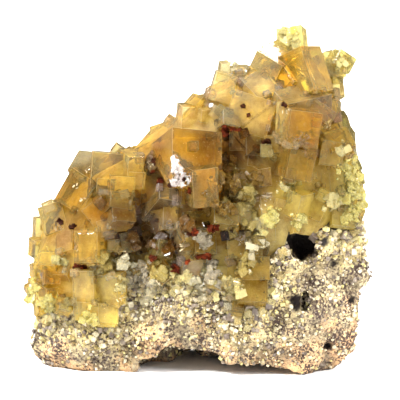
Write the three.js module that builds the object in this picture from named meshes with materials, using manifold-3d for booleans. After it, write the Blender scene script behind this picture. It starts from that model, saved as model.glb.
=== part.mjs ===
// Fluorite specimen: cubic crystals grown over a rough stone matrix.
// Millimetres. +X is to the right of the display side, +Y to the back, +Z up. The origin is under the middle,
// on the surface that the stone rests on.
import * as THREE from "three";
import { mergeVertices } from "three/addons/utils/BufferGeometryUtils.js";
import { ImprovedNoise } from "three/addons/math/ImprovedNoise.js";
import Module from "manifold-3d";

const wasm = await Module();
wasm.setup();

// Driving dimensions
const DISPLAY_TILT = THREE.MathUtils.degToRad(12); // the display side is seen from this far above level
const HEART = new THREE.Vector3(0, 4, 32); // a point inside the rock that sees all of its surface
const DEPTH_STRETCH = new THREE.Vector3(1, 1.8, 1); // makes the flat stone about as deep as it is wide
const ROCK_DETAIL = 8; // how often the stone's ball is divided
const SEAT_DETAIL = 3; // and the crust's plain inside
const DRUSE_DETAIL = 4; // and its foot
const SEAT_GAP = 1.3; // between the stone's smooth form and the plain inside of the crust
const ROCK_GAP = 0.8; // between the crust and the stone's rough surface
const DRUSE_THICKNESS = 3.6; // the grown-together foot of the crystals
const DRUSE_SINK = 4; // the foot ends inside the stone, this far under its surface
const BASE_SPAN = 120;
const WELD = 1e-4; // corners closer than this are one
const CRUMB = 20; // a loose body under this many cubic millimetres is left out

// The stone's surface points: across, back and up from the origin
const ROCK_POINTS = [
  // left side, from the foot up
  [-34.5, 1, -3], [-38, 2, 7], [-38, 3, 14], [-36, 4, 25], [-33, 5, 35], [-27, 5, 43],
  // top, from left to right
  [-19, 6, 43], [-10, 6, 46.5], [-3, 6, 51.5], [6, 6, 61], [14, 7, 67.5], [20, 9, 72.5], [27.5, 8, 67],
  // right side, from the top down
  [28.5, 7, 58], [32, 6, 48], [36, 5, 37], [34, 5, 30], [40, 4, 20], [40, 3, 13], [34, 1, 4], [30.5, 0, -2],
  // display side, lower left, the valley, the middle and the right
  [-28, -14, 5], [-31, -11, 19], [-25, -12, 31], [-25, -8, 41],
  [-13, -5, 41], [-13, -7, 31], [-13, -11, 21],
  [-9, -15, 8], [2, -17, 14], [2, -16, 28], [5, -13, 40], [-5, -8, 50],
  [14, -18, 8], [16, -18, 22], [28, -16, 9], [30, -14, 26],
  [21, -13, 38], [24, -10, 50], [14, -5, 60], [22, -3, 67],
  // lower edge of the display side
  [-31, -6, -3], [-5, -9, -4], [20, -9, -4],
  // back
  [-28, 15, 6], [-27, 15, 24], [-18, 14, 38], [0, 18, 8], [0, 18, 28], [0, 15, 47],
  [20, 19, 10], [22, 18, 32], [21, 16, 50], [17, 14, 63], [34, 12, 16], [32, 13, 40],
  // underside
  [0, 4, -10], [-26, 6, -8], [26, 6, -8],
];
const SPREAD = 0.012; // how widely a surface point's reach is felt
const SHARPNESS = 3;

// The crust's lower edge on the display side: across, up
const CRUST_EDGE = [
  [-42, 14], [-31, 11], [-23, 10], [-18, 17], [-8, 19], [0, 16],
  [8, 14], [14, 16], [18, 29], [26, 33], [42, 34],
];
const EDGE_RISE = 1.4; // how fast the edge climbs towards the back
const EDGE_FRONT = 3; // from this far back
const EDGE_FADE = [-1, 4]; // the foot thickens from under the edge to over it
const BARE_FADE = [-3, 4]; // the stone's relief dies away there

const CLEAVED_FOOT = 0.15; // of the large amber crystal

// The large crystals, as the display side shows them, across and up. corner is where the edges leave from.
// Two edges are those of a crystal's shown face, and the crystal lies behind it. Three edges leave its corner
// in sight. The first edge leads away from the eye, and with far leads towards it. deep is the third side's
// length as a share of the other two. back moves a crystal behind the crust's front, or with a minus out of
// it. cleaved is the share of its foot that is left where its far lower corner has split off.
const CRYSTALS = [
  // left side, from the top down
  { name: "left shoulder", corner: [-31, 46], edges: [[-4.25, -7.5], [6, -3.75]], deep: 0.9 },
  { name: "tile", corner: [-26, 49.75], edges: [[8.25, -0.75], [-0.75, -8]] },
  { name: "tile side", corner: [-17.5, 48.5], edges: [[3.75, 0], [-0.5, -5]] },
  { name: "tile tip", corner: [-20.5, 51.5], edges: [[-1.5, -2], [2.25, -1.5]], back: 2 },
  { name: "pale left", corner: [-29.5, 50.25], edges: [[-2.75, -4.75], [6.75, -0.75]], far: true, back: 4 },
  { name: "left low", corner: [-39.25, 36.5], edges: [[5.5, 1.75], [1.75, -6.5]], far: true },
  { name: "left mauve", corner: [-30.75, 32.75], edges: [[-4, -1.25], [-0.25, -6]], deep: 0.6 },
  { name: "tawny", corner: [-24.75, 39], edges: [[-4, -3.25], [3, -3.75]] },
  { name: "clear block", corner: [-25.25, 33.25], edges: [[3.75, 1], [1.25, -3.75]] },
  { name: "left square", corner: [-25, 31], edges: [[2.25, 0], [-5.5, 0], [0, -7.5]] },
  { name: "left yellow", corner: [-38.5, 26.5], edges: [[5, -0.5], [-1.75, -3.25]], far: true, deep: 0.6 },
  { name: "left small amber", corner: [-37.75, 22.75], edges: [[3.75, 0], [0.25, -4.25]] },
  { name: "left brown", corner: [-37, 17.25], edges: [[2.75, 0.5], [-0.25, -4]] },
  { name: "left olive", corner: [-33.75, 15], edges: [[3.25, -0.75], [-0.25, -2.25]] },
  { name: "pillow left", corner: [-31, 21.5], edges: [[5, 0], [0.25, -7.5]], far: true, deep: 0.5 },
  { name: "pillow end", corner: [-25.75, 20.75], edges: [[5.25, -0.75], [0.5, -7.25]], far: true, deep: 0.6 },
  { name: "lemon left", corner: [-30, 14.25], edges: [[5.25, -0.25], [-0.25, -4.5]] },
  { name: "lemon right", corner: [-24.75, 14], edges: [[4.75, -0.5], [0, -4.5]] },
  { name: "fringe top", corner: [-39.5, 34], edges: [[2.5, 0], [-0.25, -5.25]], back: 4 },
  { name: "fringe high", corner: [-39.75, 28.5], edges: [[2.5, 0.5], [-0.25, -4.25]], back: 4 },
  { name: "fringe middle", corner: [-40.25, 22.5], edges: [[3, 0.75], [0.5, -3.75]], back: 3 },
  { name: "fringe low", corner: [-40.5, 18.75], edges: [[3.5, 0.5], [0, -4]], back: 3 },
  { name: "fringe foot", corner: [-39.5, 15.75], edges: [[2.75, 0], [0.5, -4.25]], back: 1 },
  // the slope to the valley, and the valley
  { name: "olive step", corner: [-21.75, 44], edges: [[5.75, -0.25], [-0.25, -4.75]] },
  { name: "umber step", corner: [-21.75, 40.5], edges: [[5.25, -0.75], [-0.25, -3.75]] },
  { name: "brown step", corner: [-21.5, 37.25], edges: [[5.5, -0.25], [0.25, -3.75]] },
  { name: "edge block", corner: [-17.5, 45], edges: [[4, -0.25], [-0.5, -4]] },
  { name: "gold steps", corner: [-25, 43.5], edges: [[3, -0.25], [-0.25, -3.75]] },
  { name: "white chip", corner: [-12.5, 49.25], edges: [[-1.5, -2], [1.75, -2.75]] },
  { name: "slate", corner: [-14.5, 40.75], edges: [[2.75, -0.75], [-0.5, -4.5]], back: 1 },
  { name: "dark olive", corner: [-16.25, 33], edges: [[4.75, -0.25], [-0.25, -7.25]], back: 2 },
  { name: "olive mass", corner: [-19.75, 30.25], edges: [[4, 1], [1, -4.75]] },
  { name: "square neighbour", corner: [-22.5, 28.75], edges: [[2.75, 0.25], [0, -2.75]] },
  { name: "small gold", corner: [-20.75, 24.5], edges: [[2.5, 0.75], [0.75, -2.5]] },
  { name: "olive slip", corner: [-25, 23.75], edges: [[4.25, 0.25], [0.5, -2.25]] },
  // the large amber crystal and the ridge behind it
  {
    name: "chipped amber",
    corner: [-7.25, 55.5],
    edges: [[-6, -4.75], [-0.75, -13.5], [11.75, -0.5]],
    cleaved: CLEAVED_FOOT,
  },
  { name: "pale back middle", corner: [-16.75, 51.25], edges: [[4, 0], [0, -4]], back: 3 },
  { name: "pale outline", corner: [-12.75, 55.75], edges: [[4.75, 1.5], [0.5, -4.75]], far: true, back: 5 },
  { name: "yellow pier", corner: [-4.75, 60.25], edges: [[3.75, 0], [-0.5, -5]] },
  { name: "slip", corner: [0.25, 63], edges: [[-2, -2.25], [1, -1.5]], far: true },
  { name: "mauve foot", corner: [-0.25, 59.5], edges: [[2.25, 0.25], [-0.25, -3]] },
  { name: "diamond", corner: [3, 60.75], edges: [[-1.75, -2.25], [2.25, -1.75]] },
  { name: "ridge left", corner: [3.25, 68.75], edges: [[-2, -6.5], [5, -1.5]] },
  { name: "ridge chip", corner: [7.5, 70.5], edges: [[-0.75, -2.5], [3, 0]], far: true },
  { name: "ridge pale", corner: [4.5, 70.5], edges: [[2, 0.25], [-0.25, -2.25]], back: 2 },
  { name: "ridge right", corner: [14, 69.5], edges: [[-5.25, -2.5], [4.5, -4.75]], far: true },
  { name: "ridge front", corner: [14.75, 52.75], edges: [[-10, 3.25], [2.75, 8.5]] },
  { name: "ridge step", corner: [4.75, 59.75], edges: [[4, -0.75], [0, -3.5]] },
  { name: "ridge peak", corner: [12.75, 73.75], edges: [[-1.75, -3.75], [6, -3.75]] },
  { name: "dusk top", corner: [6.25, 54.75], edges: [[3.75, 0], [0, -4.75]], back: 1 },
  { name: "dusk right", corner: [10.25, 54], edges: [[3.25, -0.25], [0, -5]], back: 1 },
  { name: "rough cube", corner: [13.5, 51.5], edges: [[2.75, 0], [0, -3]] },
  // the summit and the right side
  { name: "golden notch", corner: [17.25, 61.5], edges: [[2.25, -0.75], [-0.25, -7.75]], far: true },
  { name: "summit", corner: [23, 74.75], edges: [[-6, -3.5], [3.25, -11.75], [4.75, 0]] },
  { name: "yoke wedge", corner: [19, 70], edges: [[-1.5, -2.25], [2.5, -3.75]] },
  { name: "yoke left", corner: [22.5, 65.75], edges: [[-5.75, -1.75], [3.75, -4.5]], far: true },
  { name: "yoke right", corner: [26, 62.75], edges: [[5.75, -4], [-2, -3]] },
  { name: "right amber", corner: [20.75, 59.5], edges: [[-3, 2.5], [7.25, -2], [0, -8.5]] },
  { name: "right lower amber", corner: [20.75, 50.5], edges: [[-2.25, 1.5], [5.75, -2.25], [0, -7.25]] },
  { name: "right shoulder", corner: [34, 55.75], edges: [[2.25, -4.5], [-5.75, -1.5]], far: true, deep: 0.7 },
  { name: "right olive", corner: [28.25, 52.5], edges: [[-1, -5.75], [5.5, -0.75]] },
  { name: "shadow blade", corner: [27.75, 46], edges: [[2, 0], [0.5, -6.5]], back: 1 },
  { name: "side lemon", corner: [30.5, 46.75], edges: [[5.75, 0.75], [0.5, -4.75]], back: 2 },
  { name: "side lemon high", corner: [33.75, 50.25], edges: [[2.75, -1], [0.5, -5.25]], back: 3 },
  { name: "side lemon low", corner: [31, 42.25], edges: [[6.25, -0.5], [0, -5.25]], back: 2 },
  { name: "lime right", corner: [26, 41], edges: [[-2.75, -5.75], [4.25, -2.25]] },
  { name: "lime left", corner: [20.25, 40.75], edges: [[-1.5, -5.75], [3, -1.5]] },
  // the lower middle
  { name: "lime knob", corner: [14, 32.25], edges: [[3, 0.5], [0.25, -4.25]] },
  { name: "lower grey", corner: [-2, 30], edges: [[5, 0], [0.25, -4.25]] },
  { name: "lower cream", corner: [5.5, 30.5], edges: [[5.75, 0.5], [0.5, -6]] },
  { name: "lower olive", corner: [11, 29.25], edges: [[3, -0.5], [0.25, -5.25]] },
  { name: "lower yellow", corner: [9.5, 25], edges: [[6.25, 0], [0, -5.5]] },
  { name: "lower gold", corner: [8.75, 19.75], edges: [[6.5, -0.25], [0, -5.25]] },
  { name: "lower lemon", corner: [1, 23], edges: [[4.75, -0.5], [-0.5, -5.25]] },
  { name: "lower green", corner: [-4.75, 23.5], edges: [[4.75, 0.75], [0.25, -4.75]] },
  { name: "red neighbour", corner: [-10.75, 25.5], edges: [[-3.25, -2.75], [4, -4.75]] },
  { name: "olive foot", corner: [-10.25, 29.25], edges: [[3.5, -1], [-0.75, -3.75]] },
  { name: "shadow block", corner: [-5, 28.75], edges: [[2.75, 0], [0, -2.5]], back: 1 },
  // the middle
  { name: "centre wall", corner: [-2.5, 45.25], edges: [[6, 0.75], [0.25, -9]], back: -8 },
  { name: "centre right", corner: [6, 46], edges: [[6.25, -0.25], [0.25, -6.75]] },
  { name: "centre low", corner: [2.5, 38.25], edges: [[5.75, -0.75], [0.25, -5.25]] },
  { name: "centre corner", corner: [8.25, 39.25], edges: [[4.75, -2], [-1, -5.75]] },
  { name: "centre prow", corner: [2, 33.25], edges: [[3.25, -2.75], [2.5, 2.25]] },
  { name: "prow left", corner: [-4.75, 35.5], edges: [[6.5, 0.5], [1.5, -4.25]] },
  { name: "centre tan", corner: [13, 45.5], edges: [[3, 0.5], [0.25, -4.25]] },
  { name: "centre grey", corner: [13.5, 39], edges: [[3.75, 0], [0.5, -5.25]], back: 1 },
  { name: "frosted", corner: [-9.25, 38.25], edges: [[3.5, -0.25], [-0.25, -6.75]] },
  { name: "small block", corner: [-5, 40.5], edges: [[2.5, -0.25], [-0.25, -3.25]] },
  { name: "brown beam", corner: [-10.25, 41.5], edges: [[4.25, -0.75], [0, -2.75]] },
  // behind the summit and down the right side
  { name: "sky top", corner: [17.25, 79], edges: [[6, 1], [0.5, -5.5]], far: true, back: 0.5 },
  { name: "sky low", corner: [15.5, 75.75], edges: [[3, -0.25], [-0.5, -3.25]], far: true, back: 0.5 },
  { name: "back right", corner: [28.75, 72.25], edges: [[5.25, 0], [0, -4.75]], back: 1 },
  { name: "striated", corner: [30.75, 67.5], edges: [[2.5, -0.25], [0.5, -4.5]] },
  { name: "back fill", corner: [29.25, 62.75], edges: [[2.5, -0.75], [0.25, -3.25]], back: 1 },
  { name: "side pale", corner: [30.5, 36.75], edges: [[5.75, -0.75], [0, -4.25]], back: 1 },
];
const MIDDLE = [0.5, 0.5, 0.5]; // of a crystal, as parts of its three sides
const THIRD_SIDE = 0.8; // a crystal's third side, as a share of the shown two
const PROUD = 3.2; // a crystal's nearest corner stands at least this far out of the stone
const PROUD_SHARE = 0.35; // and this share of its size more
const CLEAR_SIGHT = 0.4; // a shown face lies this far in front of what it would be hidden by
const SIGHT_PLACES = [0.15, 0.5, 0.85]; // where a shown face is looked at, along both its edges
const SIGHT_SHARE = 0.7; // how much of it has to be in sight
const SIGHT_PASSES = 6;
const SIGHT_TRAVEL = 4; // how far a crystal comes forward for it
const ROOTED = 1; // a crystal reaches this far into the foot
const LENGTH_RANGE = [0.75, 1.3]; // a side's length against the middle one of the three
const CORNER_PASSES = 4;

// The small crystals between and behind the large ones
const SMALL_CRYSTALS = 80;
const SMALL_TRIES = 6000;
const SMALL_LEAST = 2.2;
const SMALL_MOST = 5.4;
const SMALL_SPACING = 4;
const SMALL_STAND = 1.0; // a small crystal's middle stands this far out of the stone
const SMALL_ABOVE = 1.5; // it keeps this far above the crust's edge
const SMALL_SEED = 7;

// The bare stone's relief: broad lumps, knobs, and sharp crests between hollows
const LUMP_HEIGHT = 5;
const LUMP_SIZE = 14;
const KNOB_HEIGHT = 5;
const KNOB_SIZE = 6.5;
const CREST_HEIGHT = 6;
const CREST_SIZE = 9;
const CREST_LEVEL = 0.35; // how much of the stone lies under its crests
const FLAT_SIDES = 0.8; // the display side and the back have this much more relief
const ROCK_SINK = 0.8;

// Flat breaks where the stone was knocked off its bed, on its sides and back
const BREAKS = 26;
const BREAK_DEPTH = 1.6;
const BREAK_DEPTH_RANGE = [0.6, 1.4];
const BREAK_TILT = 0.5;
const BREAK_SPAN = 21;
const BREAK_FRONT = 4; // no break lies further forward than this
const BREAK_FOOT = 3; // or nearer to the foot
const BREAK_BELOW = 6; // or nearer to the crust's edge
const BREAK_SEED = 23;

// Hollows in the display side, and the arch under its lower edge
const HOLLOWS = [
  { name: "black hollow", centre: [24, -14, 30.5], size: [4.2, 7.5, 4], seed: 3 },
  { name: "upright slot", centre: [24, -16, 18], size: [1.2, 3.5, 3], seed: 8, detail: 1 },
  { name: "lower hole", centre: [29.5, -15, 6.5], size: [1.8, 3.5, 1.8], seed: 5, detail: 1 },
  { name: "arch", centre: [-4, -17, -1], size: [12, 26, 7.5], seed: 2 },
  { name: "low arch", centre: [9, -17, -1], size: [16, 26, 4], seed: 6 },
];
const HOLLOW_DETAIL = 2; // how often a hollow's ball is divided, unless it is a small one
const HOLLOW_PUSH = 0.45; // how rough a hollow's wall is
const HOLLOW_GRAIN = 1.7;

// How a place on the display side is looked for
const SEEK_DEPTH = 45;
const SEEK_STEP = 0.5;
const SEEK_PULL = 0.02;

const RIGHTWARD = new THREE.Vector3(1, 0, 0);
const UPWARD = new THREE.Vector3(0, Math.sin(DISPLAY_TILT), Math.cos(DISPLAY_TILT));
const INWARD = new THREE.Vector3(0, Math.cos(DISPLAY_TILT), -Math.sin(DISPLAY_TILT));
const noise = new ImprovedNoise();

// The constants of a plain repeatable number stream
const RANDOM_FACTOR = 1664525;
const RANDOM_STEP = 1013904223;
const RANDOM_RANGE = 2 ** 32;

// A repeatable stream of numbers from 0 to 1
function seededRandom(seed) {
  let state = seed;
  return () => {
    state = (Math.imul(state, RANDOM_FACTOR) + RANDOM_STEP) >>> 0;
    return state / RANDOM_RANGE;
  };
}

function solidOf(geometry) {
  const bare = geometry.clone();
  bare.deleteAttribute("normal");
  bare.deleteAttribute("uv");
  const merged = mergeVertices(bare, WELD);
  return new wasm.Manifold(
    new wasm.Mesh({
      numProp: 3,
      vertProperties: new Float32Array(merged.attributes.position.array),
      triVerts: new Uint32Array(merged.index.array),
    }),
  );
}

function meshOf(name, solid, material) {
  const shape = solid.getMesh();
  const geometry = new THREE.BufferGeometry();
  geometry.setAttribute("position", new THREE.BufferAttribute(shape.vertProperties, 3));
  geometry.setIndex(new THREE.BufferAttribute(shape.triVerts, 1));
  geometry.computeVertexNormals();
  const mesh = new THREE.Mesh(geometry, material);
  mesh.name = name;
  return mesh;
}

// Straight stations joined in one line: the height over a place
function alongStations(stations, place) {
  const last = stations.length - 1;
  if (place <= stations[0][0]) return stations[0][1];
  if (place >= stations[last][0]) return stations[last][1];
  const next = stations.findIndex(([at]) => at > place);
  const [x0, h0] = stations[next - 1];
  const [x1, h1] = stations[next];
  return h0 + ((h1 - h0) * (place - x0)) / (x1 - x0);
}

// How far a point lies above the crust's lower edge
function aboveEdge(point) {
  const rise = EDGE_RISE * Math.max(0, point.y - EDGE_FRONT);
  return point.z - alongStations(CRUST_EDGE, point.x) - rise;
}

const rockRays = ROCK_POINTS.map((point) => {
  const ray = new THREE.Vector3(...point).sub(HEART).multiply(DEPTH_STRETCH);
  const reach = ray.length();
  return { way: ray.normalize(), reach };
});

// The stone's smooth form: each direction takes the reach of the surface points near it
function smoothReach(way) {
  let total = 0;
  let sum = 0;
  for (const ray of rockRays) {
    const apart = 1 - way.dot(ray.way);
    const weight = 1 / Math.pow(apart + SPREAD, SHARPNESS);
    total += weight;
    sum += weight * ray.reach;
  }
  return sum / total;
}

function atReach(way, reach) {
  return way.clone().multiplyScalar(reach).divide(DEPTH_STRETCH).add(HEART);
}

function roughness(point, size) {
  return noise.noise(point.x / size, point.y / size, point.z / size);
}

// Bare stone is lumpy and broken in ledges; under the crust it is plain
function rockReach(way) {
  const plain = smoothReach(way);
  const point = atReach(way, plain);
  const bare = 1 - THREE.MathUtils.smoothstep(aboveEdge(point), ...BARE_FADE);
  const lumps = LUMP_HEIGHT * roughness(point, LUMP_SIZE) + KNOB_HEIGHT * roughness(point, KNOB_SIZE);
  const crest = CREST_HEIGHT * (CREST_LEVEL - Math.abs(roughness(point, CREST_SIZE)));
  const facing = 1 + FLAT_SIDES * Math.abs(way.y);
  return plain + bare * facing * (lumps + crest) - ROCK_SINK;
}

// A ball as one closed skin, each of its points moved by a rule
function shapedBall(detail, moved) {
  const ball = new THREE.IcosahedronGeometry(1, detail);
  ball.deleteAttribute("normal");
  ball.deleteAttribute("uv");
  const skin = mergeVertices(ball, WELD);
  const places = skin.attributes.position;
  const point = new THREE.Vector3();
  for (let i = 0; i < places.count; i++) {
    point.fromBufferAttribute(places, i);
    places.setXYZ(i, ...moved(point));
  }
  return solidOf(skin);
}

// A body whose every point is seen from the heart, with the reach given by a rule
function starBody(detail, reachOf) {
  return shapedBall(detail, (point) => {
    const way = point.clone().normalize();
    return atReach(way, reachOf(way));
  });
}

// A rough lump: a ball of few faces, pushed in and out
function roughLump({ centre, size, seed, detail = HOLLOW_DETAIL }) {
  return shapedBall(detail, (point) => {
    const place = point.clone().multiplyScalar(HOLLOW_GRAIN);
    const push = 1 + HOLLOW_PUSH * noise.noise(place.x + seed, place.y, place.z - seed);
    return point.multiplyScalar(push).multiply(new THREE.Vector3(...size)).add(new THREE.Vector3(...centre));
  });
}

function belowGround() {
  const ground = new THREE.BoxGeometry(BASE_SPAN, BASE_SPAN, BASE_SPAN);
  ground.translate(0, 0, -BASE_SPAN / 2);
  return solidOf(ground);
}

// The foot that the crystals share: a thin layer over the stone that ends at the crust's lower edge
function footReach(way) {
  const plain = smoothReach(way);
  const cover = THREE.MathUtils.smoothstep(aboveEdge(atReach(way, plain)), ...EDGE_FADE);
  return plain + cover * DRUSE_THICKNESS - (1 - cover) * DRUSE_SINK;
}

function isWithin(reachOf, point) {
  const ray = point.clone().sub(HEART).multiply(DEPTH_STRETCH);
  const reach = ray.length();
  return reach < reachOf(ray.divideScalar(reach));
}

// A place across, up and inwards on the display side
function displayPlace(across, up, depth) {
  const place = RIGHTWARD.clone().multiplyScalar(across);
  return place.addScaledVector(UPWARD, up).addScaledVector(INWARD, depth);
}

// How deep a body lies at a place on the display side, or Infinity beside it
function depthAt(reachOf, across, up) {
  for (let depth = -SEEK_DEPTH; depth < SEEK_DEPTH; depth += SEEK_STEP) {
    if (isWithin(reachOf, displayPlace(across, up, depth))) return depth;
  }
  return Infinity;
}

// How deep the stone lies there. Beside the stone, the nearest part of it counts.
function stoneDepth(across, up) {
  const heartUp = HEART.dot(UPWARD);
  for (let pull = 0; pull < 1; pull += SEEK_PULL) {
    const depth = depthAt(smoothReach, across + pull * (HEART.x - across), up + pull * (heartUp - up));
    if (depth < Infinity) return depth;
  }
  return HEART.dot(INWARD);
}

// The three sides of a crystal whose shown face has two edges. They are square to each other, so the skew of
// the angle between them tells how far the face leans.
function faceSides([a, b], far, deep) {
  const skew = a.dot(b);
  const lean = Math.sqrt(Math.abs(skew)) * (far ? -1 : 1);
  const sideA = new THREE.Vector3(a.x, a.y, lean);
  const sideB = new THREE.Vector3(b.x, b.y, lean === 0 ? 0 : -skew / lean);
  const sideC = new THREE.Vector3().crossVectors(sideA, sideB).normalize();
  if (sideC.z < 0) sideC.negate();
  sideC.multiplyScalar((deep * (sideA.length() + sideB.length())) / 2);
  return [sideA, sideB, sideC];
}

// The nearest set of three ways that are square to each other, from how the display side shows them
function squareWays(shown) {
  const xx = shown.reduce((sum, way) => sum + way.x * way.x, 0);
  const xy = shown.reduce((sum, way) => sum + way.x * way.y, 0);
  const yy = shown.reduce((sum, way) => sum + way.y * way.y, 0);
  const span = Math.sqrt(xx * yy - xy * xy);
  const scale = span * Math.sqrt(xx + yy + 2 * span);
  const ways = shown.map(({ x, y }) => {
    const across = (yy + span) * x - xy * y;
    const up = (xx + span) * y - xy * x;
    return new THREE.Vector3(across, up, 0).divideScalar(scale);
  });
  const [a, b, c] = ways.map((way) => way.clone());
  ways[0].z = b.x * c.y - c.x * b.y;
  ways[1].z = c.x * a.y - a.x * c.y;
  ways[2].z = a.x * b.y - b.x * a.y;
  const turn = ways[0].z < 0 ? -1 : 1;
  ways.forEach((way) => (way.z *= turn));
  return ways;
}

// The three sides of a crystal whose near corner shows three edges
function cornerSides(shown) {
  let lengths = shown.map(() => (shown[0].length() + shown[1].length() + shown[2].length()) / 3);
  let ways = [];
  for (let pass = 0; pass < CORNER_PASSES; pass++) {
    ways = squareWays(shown.map((edge, i) => edge.clone().divideScalar(lengths[i])));
    lengths = shown.map((edge, i) => edge.length() / Math.hypot(ways[i].x, ways[i].y));
    const middle = [...lengths].sort((a, b) => a - b)[1];
    const [least, most] = LENGTH_RANGE.map((share) => share * middle);
    lengths = lengths.map((length) => THREE.MathUtils.clamp(length, least, most));
  }
  return ways.map((way, i) => way.multiplyScalar(lengths[i]));
}

// The places where a crystal's shown faces are looked at, as parts of its three sides. A face is shown if the
// side that it doesn't have leads inwards, and two edges stand for one face.
function sightPlaces(sides, edgeCount) {
  const isShown = sides.map((side, i) => side.z > 0 && (edgeCount === 3 || i === 2));
  const places = [];
  for (const u of SIGHT_PLACES) {
    for (const v of SIGHT_PLACES) {
      places.push([[0, u, v], [u, 0, v], [u, v, 0]].filter((place, i) => isShown[i]));
    }
  }
  return places.flat();
}

function along(sides, shares) {
  const point = new THREE.Vector3();
  sides.forEach((side, i) => point.addScaledVector(side, shares[i]));
  return point;
}

// A crystal from the edges that the display side shows: its corner, across, up and inwards, and its sides
function shownCrystal({ corner, edges, far = false, deep = THIRD_SIDE, back = 0, cleaved = 1 }) {
  const shown = edges.map((edge) => new THREE.Vector2(...edge));
  const sides = shown.length === 2 ? faceSides(shown, far, deep) : cornerSides(shown);
  const middle = along(sides, MIDDLE);
  const halfDepth = sides.reduce((sum, side) => sum + Math.abs(side.z), 0) / 2;
  const size = sides.reduce((sum, side) => sum + side.length(), 0) / 3;
  const stone = stoneDepth(corner[0] + middle.x, corner[1] + middle.y);
  const depth = stone - PROUD - PROUD_SHARE * size + halfDepth - middle.z;
  const sights = sightPlaces(sides, edges.length).map((shares) => {
    const place = along(sides, shares);
    const across = corner[0] + place.x;
    const up = corner[1] + place.y;
    return { across, up, rise: place.z, foot: depthAt(footReach, across, up) };
  });
  const clearOfFoot = sights.map(({ rise, foot }) => foot - rise - CLEAR_SIGHT);
  const start = back > 0 ? depth + back : Math.min(depth, ...clearOfFoot) + back;
  const nearest = back > 0 ? start : start - SIGHT_TRAVEL;
  return { corner: new THREE.Vector3(corner[0], corner[1], start), sides, sights, nearest, cleaved };
}

// The depth at which the display side first meets a crystal at a place, or Infinity beside it
function crystalDepth({ corner, sides }, across, up) {
  let near = -Infinity;
  let far = Infinity;
  for (const side of sides) {
    const offset = (across - corner.x) * side.x + (up - corner.y) * side.y - corner.z * side.z;
    const ends = [-offset / side.z, (side.lengthSq() - offset) / side.z].sort((a, b) => a - b);
    near = Math.max(near, ends[0]);
    far = Math.min(far, ends[1]);
  }
  return near < far ? near : Infinity;
}

// Each crystal comes forward until its shown faces are in sight past the foot and the other crystals
function bringIntoSight(crystals) {
  for (let pass = 0; pass < SIGHT_PASSES; pass++) {
    for (const crystal of crystals) {
      const hidden = crystal.sights.map(({ across, up, rise, foot }) => {
        const others = crystals.filter((other) => other !== crystal);
        const nearest = Math.min(foot, ...others.map((other) => crystalDepth(other, across, up)));
        return crystal.corner.z + rise - nearest;
      });
      const typical = hidden.sort((a, b) => a - b)[Math.floor(SIGHT_SHARE * hidden.length)];
      const nearer = Math.min(crystal.corner.z, crystal.corner.z - typical - CLEAR_SIGHT);
      crystal.corner.z = Math.max(nearer, crystal.nearest);
    }
  }
}

// A crystal whose inner end would hang in the air grows longer, down into the foot
function rootInFoot({ corner, sides, sights }) {
  if (sights.length > SIGHT_PLACES.length ** 2) return;
  const inward = sides.reduce((best, side) => (side.z > best.z ? side : best));
  const end = corner.clone().add(along(sides, MIDDLE)).addScaledVector(inward, 0.5);
  const foot = depthAt(footReach, end.x, end.y);
  const missing = foot + ROOTED - end.z;
  if (foot < Infinity && missing > 0) {
    inward.multiplyScalar(1 + missing / inward.z);
  }
}

function largeCrystals() {
  const crystals = CRYSTALS.map(shownCrystal);
  bringIntoSight(crystals);
  crystals.forEach(rootInFoot);
  return crystals;
}

function crystalBlock({ corner, sides, cleaved }) {
  const middle = corner.clone().add(along(sides, MIDDLE));
  const turned = sides.map((side) => displayPlace(side.x, side.y, side.z));
  return block(turned, displayPlace(middle.x, middle.y, middle.z), cleaved);
}

// A cube of unit sides about its middle, with one corner split off along the third side
function cleavedCube(foot) {
  const outline = new THREE.Shape();
  outline.moveTo(0, 0);
  outline.lineTo(1, 0);
  outline.lineTo(foot, 1);
  outline.lineTo(0, 1);
  outline.closePath();
  const cube = new THREE.ExtrudeGeometry(outline, { depth: 1, bevelEnabled: false });
  return cube.translate(-MIDDLE[0], -MIDDLE[1], -MIDDLE[2]);
}

// A block from its three sides and its middle
function block(sides, centre, cleaved = 1) {
  const shape = cleaved < 1 ? cleavedCube(cleaved) : new THREE.BoxGeometry(1, 1, 1);
  const [a, b, c] = sides;
  if (a.clone().cross(b).dot(c) < 0) c.negate();
  shape.applyMatrix4(new THREE.Matrix4().makeBasis(a, b, c));
  shape.translate(centre.x, centre.y, centre.z);
  return solidOf(shape);
}

function randomWay(random) {
  const up = 2 * random() - 1;
  const round = 2 * Math.PI * random();
  const flat = Math.sqrt(1 - up * up);
  return new THREE.Vector3(flat * Math.cos(round), flat * Math.sin(round), up);
}

function randomSides(random, edge) {
  const spin = new THREE.Euler(Math.PI * random(), Math.PI * random(), Math.PI * random());
  const sides = [new THREE.Vector3(), new THREE.Vector3(), new THREE.Vector3()];
  new THREE.Matrix4().makeRotationFromEuler(spin).extractBasis(...sides);
  return sides.map((side) => side.multiplyScalar(edge));
}

// The small crystals fill what the display side shows of the foot, and cover the top, the sides and the back
function smallCrystals(large) {
  const random = seededRandom(SMALL_SEED);
  const made = [];
  const taken = [];
  for (let tries = 0; tries < SMALL_TRIES && made.length < SMALL_CRYSTALS; tries++) {
    const way = randomWay(random);
    const share = random();
    const edge = SMALL_LEAST + (SMALL_MOST - SMALL_LEAST) * share * share;
    const sides = randomSides(random, edge);
    const point = atReach(way, smoothReach(way));
    if (aboveEdge(point) < SMALL_ABOVE) continue;
    if (taken.some((other) => other.distanceTo(point) < SMALL_SPACING)) continue;
    const up = point.dot(UPWARD);
    if (way.y < 0 && large.some((crystal) => crystalDepth(crystal, point.x, up) < Infinity)) continue;
    taken.push(point);
    made.push(block(sides, atReach(way, smoothReach(way) + SMALL_STAND)));
  }
  return made;
}

function joined(solids) {
  return solids.reduce((whole, solid) => whole.add(solid));
}

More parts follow.
